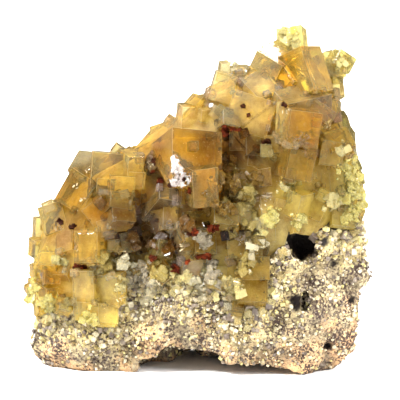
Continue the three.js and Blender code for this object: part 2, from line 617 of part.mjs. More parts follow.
// The separate bodies of a solid, the largest first, without crumbs
function wholePieces(solid, least) {
  const pieces = solid.decompose().filter((piece) => piece.volume() > least);
  return pieces.sort((a, b) => b.volume() - a.volume());
}

// Blocks whose inner faces shave the stone flat
function brokenFaces() {
  const random = seededRandom(BREAK_SEED);
  const [shallow, deepest] = BREAK_DEPTH_RANGE;
  const made = [];
  while (made.length < BREAKS) {
    const way = randomWay(random);
    const tilt = new THREE.Vector3(random() - 0.5, random() - 0.5, random() - 0.5).multiplyScalar(BREAK_TILT);
    const deep = BREAK_DEPTH * (shallow + (deepest - shallow) * random());
    const point = atReach(way, rockReach(way));
    if (aboveEdge(point) > -BREAK_BELOW || point.z < BREAK_FOOT || point.y < BREAK_FRONT) continue;
    const outward = way.clone().multiply(DEPTH_STRETCH).normalize().add(tilt).normalize();
    const shape = new THREE.BoxGeometry(BREAK_SPAN, BREAK_SPAN, BREAK_SPAN);
    shape.applyQuaternion(new THREE.Quaternion().setFromUnitVectors(new THREE.Vector3(0, 0, 1), outward));
    const centre = point.addScaledVector(outward, BREAK_SPAN / 2 - deep);
    shape.translate(centre.x, centre.y, centre.z);
    made.push(solidOf(shape));
  }
  return joined(made);
}

function matrixRock() {
  const body = starBody(ROCK_DETAIL, rockReach).subtract(brokenFaces());
  const cut = body.subtract(joined(HOLLOWS.map(roughLump))).subtract(belowGround());
  return wholePieces(cut, CRUMB)[0];
}

function fluoriteCrust() {
  const large = largeCrystals();
  const foot = starBody(DRUSE_DETAIL, footReach);
  const grown = joined([foot, ...large.map(crystalBlock), ...smallCrystals(large)]);
  const seat = starBody(SEAT_DETAIL, (way) => smoothReach(way) + SEAT_GAP);
  const clearance = starBody(ROCK_DETAIL, (way) => rockReach(way) + ROCK_GAP);
  return wholePieces(grown.subtract(seat).subtract(clearance).subtract(belowGround()), CRUMB);
}

function stoneMaterial() {
  return new THREE.MeshStandardMaterial({ color: 0xb8ad96, roughness: 0.92, metalness: 0 });
}

function fluoriteMaterial() {
  return new THREE.MeshStandardMaterial({ color: 0xcf9a3c, roughness: 0.16, metalness: 0 });
}

const group = new THREE.Group();
group.add(meshOf("matrix_rock", matrixRock(), stoneMaterial()));
fluoriteCrust().forEach((piece, index) => {
  group.add(meshOf(index === 0 ? "fluorite_crust" : "fluorite_crystal_" + index, piece, fluoriteMaterial()));
});

// The origin goes under the middle of the whole specimen
const middle = new THREE.Box3().setFromObject(group).getCenter(new THREE.Vector3());
group.position.set(-middle.x, -middle.y, 0);

export default group;
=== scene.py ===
"""Fluorite specimen: golden cubes of fluorite grown over a rough stone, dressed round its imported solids."""
import math
import random

import bmesh
import bpy
import numpy as np
from mathutils import Matrix, Vector, noise
from mathutils.bvhtree import BVHTree
from mathutils.kdtree import KDTree


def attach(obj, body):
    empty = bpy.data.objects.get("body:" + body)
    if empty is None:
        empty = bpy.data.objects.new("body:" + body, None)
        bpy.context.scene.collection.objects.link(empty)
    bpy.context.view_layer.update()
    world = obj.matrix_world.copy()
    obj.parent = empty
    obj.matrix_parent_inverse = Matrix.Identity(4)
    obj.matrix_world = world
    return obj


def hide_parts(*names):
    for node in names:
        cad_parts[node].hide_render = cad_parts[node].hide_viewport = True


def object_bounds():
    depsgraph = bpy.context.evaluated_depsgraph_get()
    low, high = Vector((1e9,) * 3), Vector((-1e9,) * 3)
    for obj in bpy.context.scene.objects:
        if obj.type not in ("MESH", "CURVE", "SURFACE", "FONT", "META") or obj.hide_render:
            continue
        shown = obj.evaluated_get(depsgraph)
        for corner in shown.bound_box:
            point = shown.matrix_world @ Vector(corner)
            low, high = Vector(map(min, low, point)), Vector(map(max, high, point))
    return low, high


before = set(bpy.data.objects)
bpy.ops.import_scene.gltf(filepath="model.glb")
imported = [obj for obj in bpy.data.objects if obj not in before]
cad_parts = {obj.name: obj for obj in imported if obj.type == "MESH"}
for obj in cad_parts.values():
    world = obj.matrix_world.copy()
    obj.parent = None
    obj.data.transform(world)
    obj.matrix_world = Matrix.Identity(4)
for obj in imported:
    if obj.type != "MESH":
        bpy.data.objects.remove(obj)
SOLID_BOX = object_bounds()

MM = 0.001

# The display side, as the photograph shows it
PHOTO_SIDE = 400
PHOTO_SCALE = 4.2  # pixels to a millimetre
PHOTO_ORIGIN = (197.1, 362.4)  # the pixel of the specimen's origin
DISPLAY_TILT = math.radians(12)
CAMERA_DISTANCE = 2500 * MM
CAMERA_CLIP = (0.1, 10)
SENSOR = 36.0
RIGHTWARD = Vector((1, 0, 0))
UPWARD = Vector((0, math.sin(DISPLAY_TILT), math.cos(DISPLAY_TILT)))
INWARD = Vector((0, math.cos(DISPLAY_TILT), -math.sin(DISPLAY_TILT)))

# Colours by name, as 0 to 255 on a screen
COLOURS = {
    "amber": (202, 154, 58),
    # painted glow: the lit, glowing bands of the large amber crystal and the summit crystal
    "painted glow gold": (255, 210, 74),
    "old gold": (226, 176, 64),
    "brown orange": (118, 76, 18),
    "gold": (255, 240, 170),
    "honey": (203, 172, 84),
    "tan": (236, 220, 166),
    "mauve": (212, 184, 144),
    "olive": (228, 204, 116),
    "moss": (202, 180, 104),
    "tawny": (160, 124, 56),
    # smoky brown: partly the crystals' own tone, partly painted shade in deep places and under the ridge
    "smoky shade": (134, 94, 38),
    # painted shade: the darkest brown, laid on the crust in the deep valley and under the ridge
    "shade umber": (64, 34, 10),
    "lemon": (255, 244, 168),
    "sulphur": (255, 243, 150),
    "peach": (250, 240, 200),
    "grey white": (216, 202, 172),
}
RED = (88, 34, 12)
DARK = (58, 30, 16)
# the pale of painted edge highlights and glints on the crystals, and of their worn edges and inclusions
PALE = (255, 242, 184)
# the white of splinters that also stand in for glints
BLADE_GLINT_WHITE = (228, 214, 176)
# painted shade in the creases where crystals meet
JOINT_SHADE_BROWN = (70, 44, 18)
BROKEN_LIGHT, BROKEN_SHADE = (246, 236, 224), (196, 168, 140)
ROOT_LIGHT, ROOT_SHADE = (250, 232, 176), (206, 172, 110)
CHIP_LIGHT, CHIP_SHADE = (206, 201, 192), (150, 138, 132)
FRINGE_COLOURS = ((246, 230, 168), (236, 214, 148), (228, 206, 156), (250, 238, 196))
SUGAR_COLOURS = ((228, 218, 188), (204, 192, 160), (226, 214, 150), (150, 138, 124), (118, 106, 96))
STONE_COLOURS = {
    "shade": (126, 112, 92),
    "light": (184, 166, 128),
    "gold": (222, 200, 130),
    "rust": (218, 172, 122),
    "speck": (68, 52, 46),
    # painted shade: the colour of the low places in the stone's relief
    "hollow_shade": (78, 62, 46),
    # painted shade: the near black inside the stone's holes
    "hole": (26, 17, 11),
}

# Which part of the crust has which colour: pixel across, pixel down, reach in pixels, colour
COLOUR_ZONES = [
    (76, 190, 20, "honey"), (92, 195, 10, "tan"), (110, 163, 16, "tan"), (80, 160, 10, "peach"),
    (46, 218, 12, "gold"), (60, 222, 6, "grey white"), (98, 210, 11, "amber"), (97, 226, 6, "gold"),
    (63, 237, 12, "mauve"), (107, 228, 8, "grey white"), (89, 246, 14, "olive"), (50, 258, 12, "lemon"),
    (52, 276, 9, "amber"), (54, 294, 10, "olive"), (83, 286, 13, "gold"), (106, 290, 12, "lemon"),
    (96, 314, 16, "lemon"), (34, 285, 12, "lemon"), (133, 158, 9, "lemon"), (160, 128, 8, "gold"),
    (148, 136, 6, "gold"), (137, 170, 9, "gold"), (150, 162, 8, "mauve"), (158, 152, 12, "amber"),
    # the painted glow gold zones paint the glow of lit faces
    (153, 146, 5, "mauve"), (183, 144, 13, "painted glow gold"), (203, 146, 14, "brown orange"),
    # the smoky shade zones are partly painted shade in the valley and under the ridge
    (197, 131, 6, "smoky shade"), (178, 170, 9, "grey white"), (192, 190, 12, "honey"),
    (168, 214, 11, "grey white"), (146, 202, 10, "mauve"), (147, 230, 14, "smoky shade"), (125, 190, 10, "olive"),
    (128, 218, 10, "smoky shade"), (168, 262, 10, "honey"), (160, 250, 8, "moss"), (206, 188, 14, "honey"),
    (236, 188, 18, "honey"), (222, 216, 14, "olive"), (250, 215, 14, "gold"), (206, 245, 10, "honey"),
    (190, 118, 10, "peach"), (201, 103, 6, "olive"), (225, 78, 14, "peach"), (250, 80, 16, "peach"),
    (270, 60, 8, "tan"), (225, 108, 18, "peach"), (252, 118, 16, "tan"), (240, 146, 15, "smoky shade"),
    (270, 135, 7, "smoky shade"), (266, 152, 6, "lemon"), (281, 122, 12, "gold"), (290, 66, 12, "painted glow gold"),
    (318, 72, 15, "tan"), (287, 34, 16, "lemon"), (336, 66, 9, "lemon"), (297, 100, 9, "tan"),
    (328, 108, 10, "mauve"), (306, 128, 13, "old gold"), (298, 160, 14, "honey"), (337, 137, 12, "olive"),
    (323, 176, 8, "olive"), (348, 176, 14, "sulphur"), (290, 205, 10, "sulphur"), (318, 205, 12, "sulphur"),
    (272, 232, 9, "lemon"), (250, 262, 16, "moss"), (220, 262, 12, "lemon"), (190, 275, 12, "grey white"),
    # the shade umber zones are painted shade in the deep valley and under the ridge
    (140, 262, 12, "moss"), (352, 212, 12, "lemon"), (138, 226, 7, "shade umber"), (160, 206, 7, "shade umber"),
    (152, 240, 7, "shade umber"), (182, 214, 5, "shade umber"), (158, 182, 6, "shade umber"), (200, 226, 6, "shade umber"),
    (240, 232, 5, "shade umber"), (262, 142, 6, "shade umber"),
]

# Dark grains in the hollows: pixel across, pixel down, spread across and down in pixels, how many, colour
GRAIN_SPOTS = [
    (82, 267, 5, 1.6, 14, RED), (203, 256, 7, 2.2, 18, RED), (175, 269, 3, 3.5, 12, RED),
    (153, 258, 3, 2.5, 7, RED), (194, 232, 2.5, 2.5, 7, RED), (213, 228, 5, 2.5, 9, RED),
    (225, 131, 1.5, 5, 9, RED), (235, 129, 6, 1.2, 8, RED), (201, 210, 1.5, 1.5, 3, RED),
    (160, 181, 2, 2.5, 5, RED), (152, 171, 1.5, 1.5, 3, RED), (190, 191, 1.5, 1.5, 3, RED),
    (188, 262, 1.5, 1.5, 3, RED), (60, 222, 1.5, 3, 6, DARK), (72, 226, 2.5, 1.6, 6, DARK),
    (154, 162, 1.5, 3.5, 6, DARK), (285, 105, 2.2, 1, 4, DARK), (244, 106, 1, 0.6, 2, DARK),
    (249, 115, 0.8, 0.8, 2, DARK), (184, 179, 0.8, 1.2, 3, DARK), (170, 186, 1, 1, 3, DARK),
    (266, 142, 4, 2, 6, DARK), (190, 232, 4, 3, 6, DARK),
]

# The larger red pieces: pixel across, pixel down, length and width in pixels, slope in degrees
RED_BARS = [
    (81.5, 266.5, 16, 6, 4), (203, 256.5, 17, 5, -6), (175, 268, 8, 10, 10), (153, 258, 6, 5, -30),
    (194, 232, 6, 5, 20), (212, 228, 11, 5, -35), (225, 131, 5, 11, 0), (235, 129.5, 13, 2.5, 8),
    (160, 181, 4, 6, 15),
]

# Holes in the stone, painted dark as their shade: pixel across, pixel down, reach in pixels
HOLES = [
    (298, 243, 22), (306, 247, 18), (290, 238, 16), (298, 302, 9), (327, 344, 8), (325, 243, 6),
    (334, 263, 5), (352, 300, 5),
]

# The white chip of the large amber crystal, and bruised places: pixel across, pixel down, reach in pixels,
# how deep in millimetres
CHIPS = [(174, 160, 7, 0.6), (177, 169, 10, 0.9), (181, 179, 13, 0.9), (174, 185, 9, 0.7)]
BRUISES = [
    (302, 141, 13, 0.25), (309, 154, 7, 0.3), (59, 226, 8, 0.6),
    (171, 224, 8, 0.5), (206, 242, 11, 0.35), (133, 205, 7, 0.5), (150, 158, 5, 0.4), (75, 247, 6, 0.4),
    (237, 172, 6, 0.5), (228, 209, 6, 0.5), (205, 193, 5, 0.3), (327, 125, 5, 0.4), (250, 115, 5, 0.25),
    (268, 196, 7, 0.6), (280, 182, 6, 0.4), (249, 113, 4, 0.2), (113, 219, 7, 0.3), (240, 238, 9, 0.3),
]

# Crumbly places of many small crystals: pixel across, pixel down, reach in pixels, share
CRUMBLES = [
    (352, 170, 16, 0.3), (354, 195, 18, 0.35), (345, 215, 14, 0.3), (342, 148, 8, 0.2),
    (325, 190, 10, 0.2), (232, 190, 18, 0.25), (250, 200, 12, 0.25), (215, 250, 12, 0.2),
    (235, 262, 14, 0.25), (180, 262, 14, 0.2), (140, 250, 14, 0.2), (34, 290, 12, 0.25),
    (64, 270, 10, 0.15), (225, 95, 12, 0.08), (290, 190, 10, 0.2), (270, 215, 12, 0.25),
    (150, 222, 14, 0.2), (110, 262, 12, 0.2), (205, 222, 12, 0.2), (98, 232, 8, 0.1),
]

# Patches of small cloudy crystals: pixel across, pixel down, reach in pixels, colour
PATCHES = [
    (125, 264, 10, "peach"), (140, 276, 12, "grey white"), (160, 272, 10, "olive"), (178, 281, 11, "gold"),
    (200, 286, 12, "peach"), (214, 274, 11, "grey white"), (232, 284, 11, "gold"), (246, 264, 9, "moss"),
    (256, 246, 8, "peach"), (262, 236, 7, "lemon"), (150, 293, 10, "peach"), (120, 286, 8, "gold"),
    (60, 262, 6, "lemon"), (34, 292, 9, "sulphur"), (44, 303, 8, "sulphur"), (90, 318, 8, "sulphur"),
    (352, 168, 12, "sulphur"), (356, 192, 14, "sulphur"), (351, 214, 10, "sulphur"), (343, 150, 7, "gold"),
    (333, 200, 8, "gold"), (272, 216, 8, "sulphur"), (300, 220, 8, "sulphur"), (284, 186, 7, "gold"),
    # the smoky shade patches are partly painted shade in the valley
    (232, 180, 13, "tawny"), (245, 200, 10, "moss"), (222, 206, 9, "tawny"), (226, 164, 8, "smoky shade"),
    (150, 242, 9, "smoky shade"), (170, 247, 9, "brown orange"), (134, 238, 7, "smoky shade"),
    (205, 240, 10, "grey white"), (250, 224, 8, "moss"), (188, 226, 8, "smoky shade"), (256, 178, 8, "tawny"),
    (105, 262, 8, "olive"), (282, 30, 7, "lemon"), (296, 42, 7, "lemon"), (340, 62, 7, "lemon"),
    (232, 62, 7, "peach"),
]

# White splinters on the crust's lower part, which also stand in for glints: pixel across, pixel down, length
# in pixels, slope in degrees
BLADES = [
    (182, 247, 10, -25), (120, 254, 11, -20), (267, 194, 10, 10), (347, 269, 10, -20), (240, 292, 8, 30),
    (152, 165, 7, 50), (276, 268, 8, 20), (326, 127, 8, -55), (300, 222, 8, 25), (262, 208, 6, 50),
    (77, 187, 4, -30), (84, 201, 4, 20), (237, 171, 7, -50), (227, 209, 7, -40), (286, 112, 5, 70),
    (287, 181, 6, -35), (205, 292, 9, 60), (160, 285, 9, 80), (225, 300, 8, -60), (330, 250, 8, 20),
    (120, 300, 8, 30),
]

# The crust's faces and edges
WELD_REACH = 4e-6  # metres
FLAT_TURN = math.radians(0.6)
EDGE_BEVEL = 0.05 * MM
EDGE_LEAST = 0.9 * MM
EDGE_TURN = math.radians(50)
EDGE_POINT_GAP = 0.35 * MM
FACE_STEP, FACE_ROUNDS = 1.15 * MM, 7
# painted highlight: a pale band this wide along the crystals' outer edges
RIM_HIGHLIGHT_WIDTH = 1.5 * MM
# painted shade reaches this far from the creases where crystals meet
JOINT_SHADE_WIDTH = 2.0 * MM
ROOT_GAP = 2.6 * MM
ROOT_TURN = -0.3  # how far a face is turned to the stone to be a root
CLEAR_SLOT, ROOT_SLOT, CHIP_SLOT, WORN_SLOT = range(4)  # the worn edges end up clear

# The crust's colours
ZONE_DEPTH = 0.6  # how far inside the crust a zone's middle is, as a share of its reach
ZONE_CORE = 0.05
ZONE_FALL = 5
FACE_SHARE = 0.25  # how much of a face's colour is its own, and not that of the places in it
GREEN_SPREAD, BLUE_SPREAD, SHADE_SPREAD = (0.92, 1.01), (0.85, 1.3), (0.8, 1.16)

# Growth steps
STEP_FACE = 9e-6  # square metres; larger faces carry growth steps
STEP_FILL = 0.8  # how much of its box such a face fills
STEP_SPAN = 2.2 * MM
STEP_COUNTS = (0, 0, 1, 1)
STEP_INSET = (0.05, 0.13)
STEP_SHIFT = 0.04  # insets and shifts are shares of the face's reach
STEP_HEIGHT = (0.05 * MM, 0.13 * MM)
STEP_SLOPE = 0.05 * MM

# Bruises and chips
BRUISE_STEP, BRUISE_ROUNDS = 0.32 * MM, 2
BRUISE_RAGS = 1.3 * MM
BRUISE_EDGE, BRUISE_UNEVEN = 0.75, 0.5
BRUISE_RISE = 2.5  # how steeply a bruise gets full from its edge
BRUISE_MIDDLE = 0.5
BRUISE_ROUGHS = ((1.1, 0.9 * MM), (0.6, 0.4 * MM))  # how high, how wide
CHIP_SHARE = 0.3  # how broken a face has to be to be white

# The stone, with its relief in millimetres: how high, how wide
STONE_VOXEL = 0.55 * MM
KNOBS = (0.75, 4.2)
GRAINS = (0.5, 1.2)
FINE_GRAINS = (0.22, 0.62)
PITS = (1.3, 2.3)
GRAIN_MIDDLE = 0.42
PIT_START = 0.38
PIT_PLACE = Vector((7, 3, 5))  # so that pits don't follow the knobs
FOOT_START = 0.1 * MM  # the relief fades out down to the face that it rests on
FOOT_FADE = 1.2 * MM
HOLLOW_DEPTH = 1.2  # millimetres of relief from no painted shade to full painted shade
GOLD_FADE = 5 * MM
HOLE_RAGS = 1.4 * MM
HOLE_EDGE, HOLE_UNEVEN, HOLE_RISE = 1.12, 0.6, 2.2
COVER_START = 0.1 * MM
COVER_REACH = 9.0 * MM

# Small pieces. Tries: places looked at. Size: the least and how much more, in millimetres, and how much
# rarer the large ones are. Sides and shades: how uneven. Sink and rise: shares of the size.
SMALL_TRIES, SMALL_SINK = 11000, 0.18
SMALL_SIZE, SMALL_SIDES, SMALL_SHADES = (0.7, 1.9, 2), (0.8, 1.3), (0.8, 1.15)
BACK_TRIES, BACK_SINK = 2800, 0.2
BACK_SIZE, BACK_SIDES, BACK_SHADES = (1.4, 3.4, 1.7), (0.85, 1.2), (0.8, 1.1)
FRINGE_TRIES, FRINGE_RISE = 22000, 0.1
FRINGE_SIZE, FRINGE_SIDES, FRINGE_SHADES = (0.6, 1.7, 1.6), (0.8, 1.25), (0.82, 1.08)
PATCH_SIZE, PATCH_SIDES, PATCH_SHADES = (0.45, 1.7, 2.2), (0.7, 1.3), (0.78, 1.02)
SUGAR_TRIES, SUGAR_RISE = 30000, 0.2
SUGAR_SIZE, SUGAR_SIDES, SUGAR_SHADES = (0.35, 0.55, 1.7), (0.7, 1.3), (0.7, 1.0)
CRUMB_RADIUS, CRUMB_LEAST, CRUMB_UNEVEN = 0.55, 0.72, 0.5
SHARD_CORNERS = (0.55, 1.2)

# Where small crystals grow
SEAT_REACH = 3.2 * MM  # faces nearer to the stone than this and turned to it are the crust's inside
HOLLOW_WAYS = [Vector((x, y, z)).normalized() for x in (-1, 1) for y in (-1, 1) for z in (-1, 1)]
HOLLOW_LEAN = 0.1
HOLLOW_START = 0.3 * MM
HOLLOW_REACH = 5 * MM
CRUMBLE_EDGE = 1.3
LEAST_SHARE, HOLLOW_SHARE, CRUMBLE_SHARE = 0.003, 0.5, 0.3
SQUARE_SHARE, SQUARE_LEAN, LOOSE_LEAN, BACK_LEAN = 0.6, 0.12, 0.7, 0.45
BACK_FROM = 0.35  # how far a face is turned from the display side to be one of the back
BACK_START = 6.5 * MM
FLANK_FROM = 0.7
FLANK_START = 3 * MM
FLANK_TOP = 60 * MM
BACK_ROOM = 0.7
LEAST_FACE = 1e-10  # square metres

# Where pale crystals and grains lie
CRUST_GAP, SUGAR_FADE = 0.75, 3.5  # millimetres
DARK_LIMIT = 0.15
FRINGE_FADE, FRINGE_SHARE, FRINGE_FOOT = 2.6 * MM, 0.9, 2 * MM
PATCH_CROWD = 0.36  # small crystals to a square pixel
PATCH_SPREAD = 0.5
SUGAR_FOOT = 0.7 * MM
SUGAR_SHARE, SUGAR_NEAR_SHARE, SUGAR_NEAR_SIZE = 0.36, 0.4, 0.9
SUGAR_CUBES, SUGAR_NEAR_CUBES = 0.1, 0.5
UNDERSIDE = -0.6

# Red pieces and blades, as ranges. Sizes, widths and thicknesses are in millimetres, lengths are shares of
# the table's, and turns of a blade's tip and roll are in radians.
GRAIN_OUT = 0.3 * MM  # the red grains stand out of the faces that carry them
IRON_SIZE, IRON_SIDES, IRON_SHADES, BAR_SHADES = (0.45, 0.95), (0.7, 1.4), (0.5, 1.5), (0.4, 1.5)
BAR_REACH, BAR_PROBE = 0.4, 2
BAR_LEAST, BAR_CROWD = 5, 6  # grains to a bar, and one more for so many square pixels
BAR_SIDES = ((0.5, 1.1), (0.3, 0.6), (0.4, 0.9))
BAR_SPREAD = (0.45, 0.4)
BAR_LEANS = (0.5, 0.4)
BLADES_EACH = 4
BLADE_SCATTER = (4, 3)
BLADE_LENGTH, BLADE_SHARE, BLADE_SHADES = (0.4, 1.0), 0.8, (0.75, 1.0)
BLADE_WIDTH, BLADE_THICKNESS = (0.12, 0.26), (0.1, 0.18)
BLADE_TIP, BLADE_ROLL, BLADE_FAN = 0.7, 0.8, 22

# Finishes. Noise: scale, detail, roughness
CLOUDS = (260.0, 5.0, 0.72)
FLECKS = (1500.0, 3.0, 0.65)
FLECK_HEIGHT = 0.35
STONE_PATCHES = (110.0, 4.0, 0.6)
STONE_GRAINS = 2100.0
STONE_SPECKS = (1700.0, 3.0, 0.75)
SPECK_CLUSTERS = (190.0, 2.0, 0.5)
CLUSTERING = 0.5
RUST_CLOUDS = (120.0, 4.0, 0.65)
GRAIN_SPECKS = (1300.0, 3.0, 0.5)
GRAIN_ROUGH = 0.25
FLUORITE_IOR = 1.434
ABSORPTION = (0.985, 0.945, 0.5, 1)
CLOUD_TINT = (0.86, 0.81, 0.72, 1)
CLOUD_ROUGH = 0.15
JOINT_SHADE_SHARE = 0.4  # how dark the painted shade gets where crystals meet
# worn edges are rougher, and paler partly as painted edge highlight
WORN_PALE_AND_HIGHLIGHT, WORN_ROUGH = 0.12, 0.25
WHITE = (1, 1, 1, 1)

# Studio
FLOOR_REACH = 1.5
REFLECTED_ROOM = 0.8  # how bright the tent is through the crystals and in them
MIRRORED_ROOM = 0.1  # how much of that their outsides mirror, so that the faces stay clear to look into
FLOOR = 0.95
MIRRORED_FLOOR = 0.15
REFRACTED_FLOOR = 0.42  # so that thin crystals keep their colour before it
LAMPS = [  # name, place and size in metres, watts, whether the specimen mirrors it
    ("key", (-0.4, -0.3, 0.58), 0.18, 12.5, True),
    ("back", (0.25, 0.4, 0.5), 0.3, 6.0, True),
    ("fill", (0.45, -0.3, 0.35), 0.3, 5.2, False),
]

# Seeds of the random draws
TINT_SEED, STEP_SEED, SMALL_SEED, BACK_SEED, FRINGE_SEED = 21, 8, 5, 41, 17
PATCH_SEED, SUGAR_SEED, GRAIN_SEED, BAR_SEED, BLADE_SEED = 29, 11, 3, 4, 9


def screen(colour):
    """A colour of 0 to 255 as a linear one."""
    return tuple(
        c / 255 / 12.92 if c / 255 <= 0.04045 else ((c / 255 + 0.055) / 1.055) ** 2.4 for c in colour
    )


def paint(colour):
    """The same for a shader's input."""
    return (*screen(colour), 1)


def real(pixels):
    """A length on the photograph in metres."""
    return pixels / PHOTO_SCALE * MM


def camera_target():
    across = real(PHOTO_SIDE / 2 - PHOTO_ORIGIN[0])
    up = real(PHOTO_ORIGIN[1] - PHOTO_SIDE / 2)
    return RIGHTWARD * across + UPWARD * up


def camera_place():
    return camera_target() - INWARD * CAMERA_DISTANCE


def photo_ray(across, down):
    """Where the eye is, and its way through a pixel of the photograph."""
    aim = INWARD * CAMERA_DISTANCE
    aim = aim + RIGHTWARD * real(across - PHOTO_SIDE / 2)
    aim = aim + UPWARD * real(PHOTO_SIDE / 2 - down)
    return camera_place(), aim.normalized()


def first_hit(trees, across, down):
    """The place that a pixel of the photograph shows, or None."""
    eye, way = photo_ray(across, down)
    hits = [tree.ray_cast(eye, way)[0] for tree in trees]
    return min((hit for hit in hits if hit is not None), key=lambda hit: (hit - eye).length, default=None)


def shown_places(tree, rows):
    """The rows of a table that meet a solid, as a place, a reach in metres and the rest of the row."""
    found = []
    for across, down, reach, *rest in rows:
        place = first_hit([tree], across, down)
        if place is not None:
            found.append((place, real(reach), *rest))
    return found


def make_camera():
    data = bpy.data.cameras.new("camera")
    data.sensor_width = SENSOR
    data.lens = SENSOR * CAMERA_DISTANCE / real(PHOTO_SIDE)
    data.clip_start, data.clip_end = CAMERA_CLIP
    camera = bpy.data.objects.new("camera", data)
    camera.location = camera_place()
    camera.rotation_mode = "QUATERNION"
    camera.rotation_quaternion = INWARD.to_track_quat("-Z", "Y")
    bpy.context.scene.collection.objects.link(camera)
    bpy.context.scene.camera = camera


def piece(name, mesh, materials):
    """A new object of the specimen, in place, riding on its one body."""
    thing = bpy.data.objects.new(name, mesh)
    bpy.context.scene.collection.objects.link(thing)
    for material in materials:
        mesh.materials.append(material)
    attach(thing, "root")
    return thing


def finished_mesh(name, shape):
    mesh = bpy.data.meshes.new(name)
    shape.to_mesh(mesh)
    shape.free()
    return mesh


def set_values(mesh, name, values, domain="POINT"):
    mesh.attributes.new(name, "FLOAT", domain).data.foreach_set("value", values)


def set_crystal_tint(mesh, colours):
    """Gives each corner of each face its linear colour."""
    whole = np.ones((len(mesh.loops), 4), dtype=np.float32)
    whole[:, :3] = colours
    tint = mesh.color_attributes.new("crystal_tint", "FLOAT_COLOR", "CORNER")
    tint.data.foreach_set("color", whole.ravel())


def noise_of(place, height, width):
    return height * noise.noise(place / width)


def triangulate(shape):
    bmesh.ops.triangulate(shape, faces=[face for face in shape.faces if len(face.verts) > 3])


# Solids read from the frame

def welded_copy(node_name):
    """The node's solid as one welded mesh."""
    shape = bmesh.new()
    shape.from_mesh(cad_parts[node_name].data)
    bmesh.ops.remove_doubles(shape, verts=shape.verts, dist=WELD_REACH)
    bmesh.ops.dissolve_degenerate(shape, edges=shape.edges, dist=WELD_REACH)
    return shape


def tree_of(shape):
    return BVHTree.FromBMesh(shape, epsilon=0.0)


# The crystals

def is_sharp(edge):
    return len(edge.link_faces) == 2 and edge.calc_face_angle(0) > EDGE_TURN


def is_outer_edge(edge):
    return is_sharp(edge) and edge.is_convex and edge.calc_length() > EDGE_LEAST


def is_joint(edge):
    """Whether one crystal meets another here."""
    return is_sharp(edge) and not edge.is_convex


def zone_anchors(tree):
    """The middles of the colour zones, a little inside the crust, with their reaches and colours."""
    anchors = []
    for across, down, reach, colour in COLOUR_ZONES:
        eye, way = photo_ray(across, down)
        hit = tree.ray_cast(eye, way)[0] or tree.find_nearest(eye + way * CAMERA_DISTANCE)[0]
        anchors.append((hit + way * real(ZONE_DEPTH * reach), real(reach), screen(COLOURS[colour])))
    return anchors


def zone_colour(anchors, place):
    return Vector(min(anchors, key=lambda anchor: (place - anchor[0]).length / anchor[1])[2])


def flowing_colours(anchors, places):
    """The zones' colours flowing into each other, for an array of places."""
    total, weight_sum = np.zeros((len(places), 3)), np.zeros((len(places), 1))
    for centre, reach, colour in anchors:
        away = np.linalg.norm(places - np.array(centre[:]), axis=1, keepdims=True)
        weight = 1 / (ZONE_CORE + away / reach) ** ZONE_FALL
        total += weight * np.array(colour)
        weight_sum += weight
    return total / weight_sum


def refine(shape, longest):
    """Splits long edges until none is longer than this, keeping flat faces flat."""
    triangulate(shape)
    for _ in range(FACE_ROUNDS):
        long_edges = [edge for edge in shape.edges if edge.calc_length() > longest]
        if not long_edges:
            break
        bmesh.ops.subdivide_edges(shape, edges=long_edges, cuts=1)
        triangulate(shape)


def nearness(edges, mesh, reach):
    """How near each point of the mesh is to the nearest of these edges, 1 at it and 0 from the reach on."""
    points = []
    for edge in edges:
        start, end = (vert.co for vert in edge.verts)
        count = max(1, int((end - start).length / EDGE_POINT_GAP))
        points += [start.lerp(end, i / count) for i in range(count + 1)]
    tree = KDTree(len(points))
    for i, point in enumerate(points):
        tree.insert(point, i)
    tree.balance()
    return [max(0.0, 1 - tree.find(vert.co)[2] / reach) for vert in mesh.vertices]


def faceted(crust):
    """The crust with its flat faces whole."""
    shape = crust.copy()
    bmesh.ops.dissolve_limit(
        shape, angle_limit=FLAT_TURN, verts=shape.verts, edges=shape.edges, use_dissolve_boundaries=False
    )
    return shape


def facet_layers(shape):
    """Each face's colour, and the way of its longest edge."""
    layers = shape.faces.layers.float_vector
    return layers["tint"], layers["along"]


def set_tints(shape, anchors):
    rng = random.Random(TINT_SEED)
    for name in ("tint", "along"):
        shape.faces.layers.float_vector.new(name)
    tint, along = facet_layers(shape)
    for face in shape.faces:
        hue = Vector((1, rng.uniform(*GREEN_SPREAD), rng.uniform(*BLUE_SPREAD)))
        face[tint] = zone_colour(anchors, face.calc_center_median()) * hue * rng.uniform(*SHADE_SPREAD)
        longest = max(face.edges, key=lambda edge: edge.calc_length())
        face[along] = (longest.verts[1].co - longest.verts[0].co).normalized()


def mark_roots(shape, rock_tree):
    """The crystals' roots, on the stone, are a cloudy pale ground."""
    for face in shape.faces:
        _, outward, _, away = rock_tree.find_nearest(face.calc_center_median())
        if away < ROOT_GAP and outward.dot(face.normal) < ROOT_TURN:
            face.material_index = ROOT_SLOT


def mark_chips(shape, chips):
    for face in shape.faces:
        if face.material_index != ROOT_SLOT and bruise_at(chips, face.calc_center_median())[0] > CHIP_SHARE:
            face.material_index = CHIP_SLOT


def fills_its_box(face, along):
    """Whether a flat face is nearly a rectangle."""
    spans = []
    for way in (along, face.normal.cross(along)):
        reach = [vert.co.dot(way) for vert in face.verts]
        spans.append(max(reach) - min(reach))
    return face.calc_area() > STEP_FILL * spans[0] * spans[1] and min(spans) > STEP_SPAN


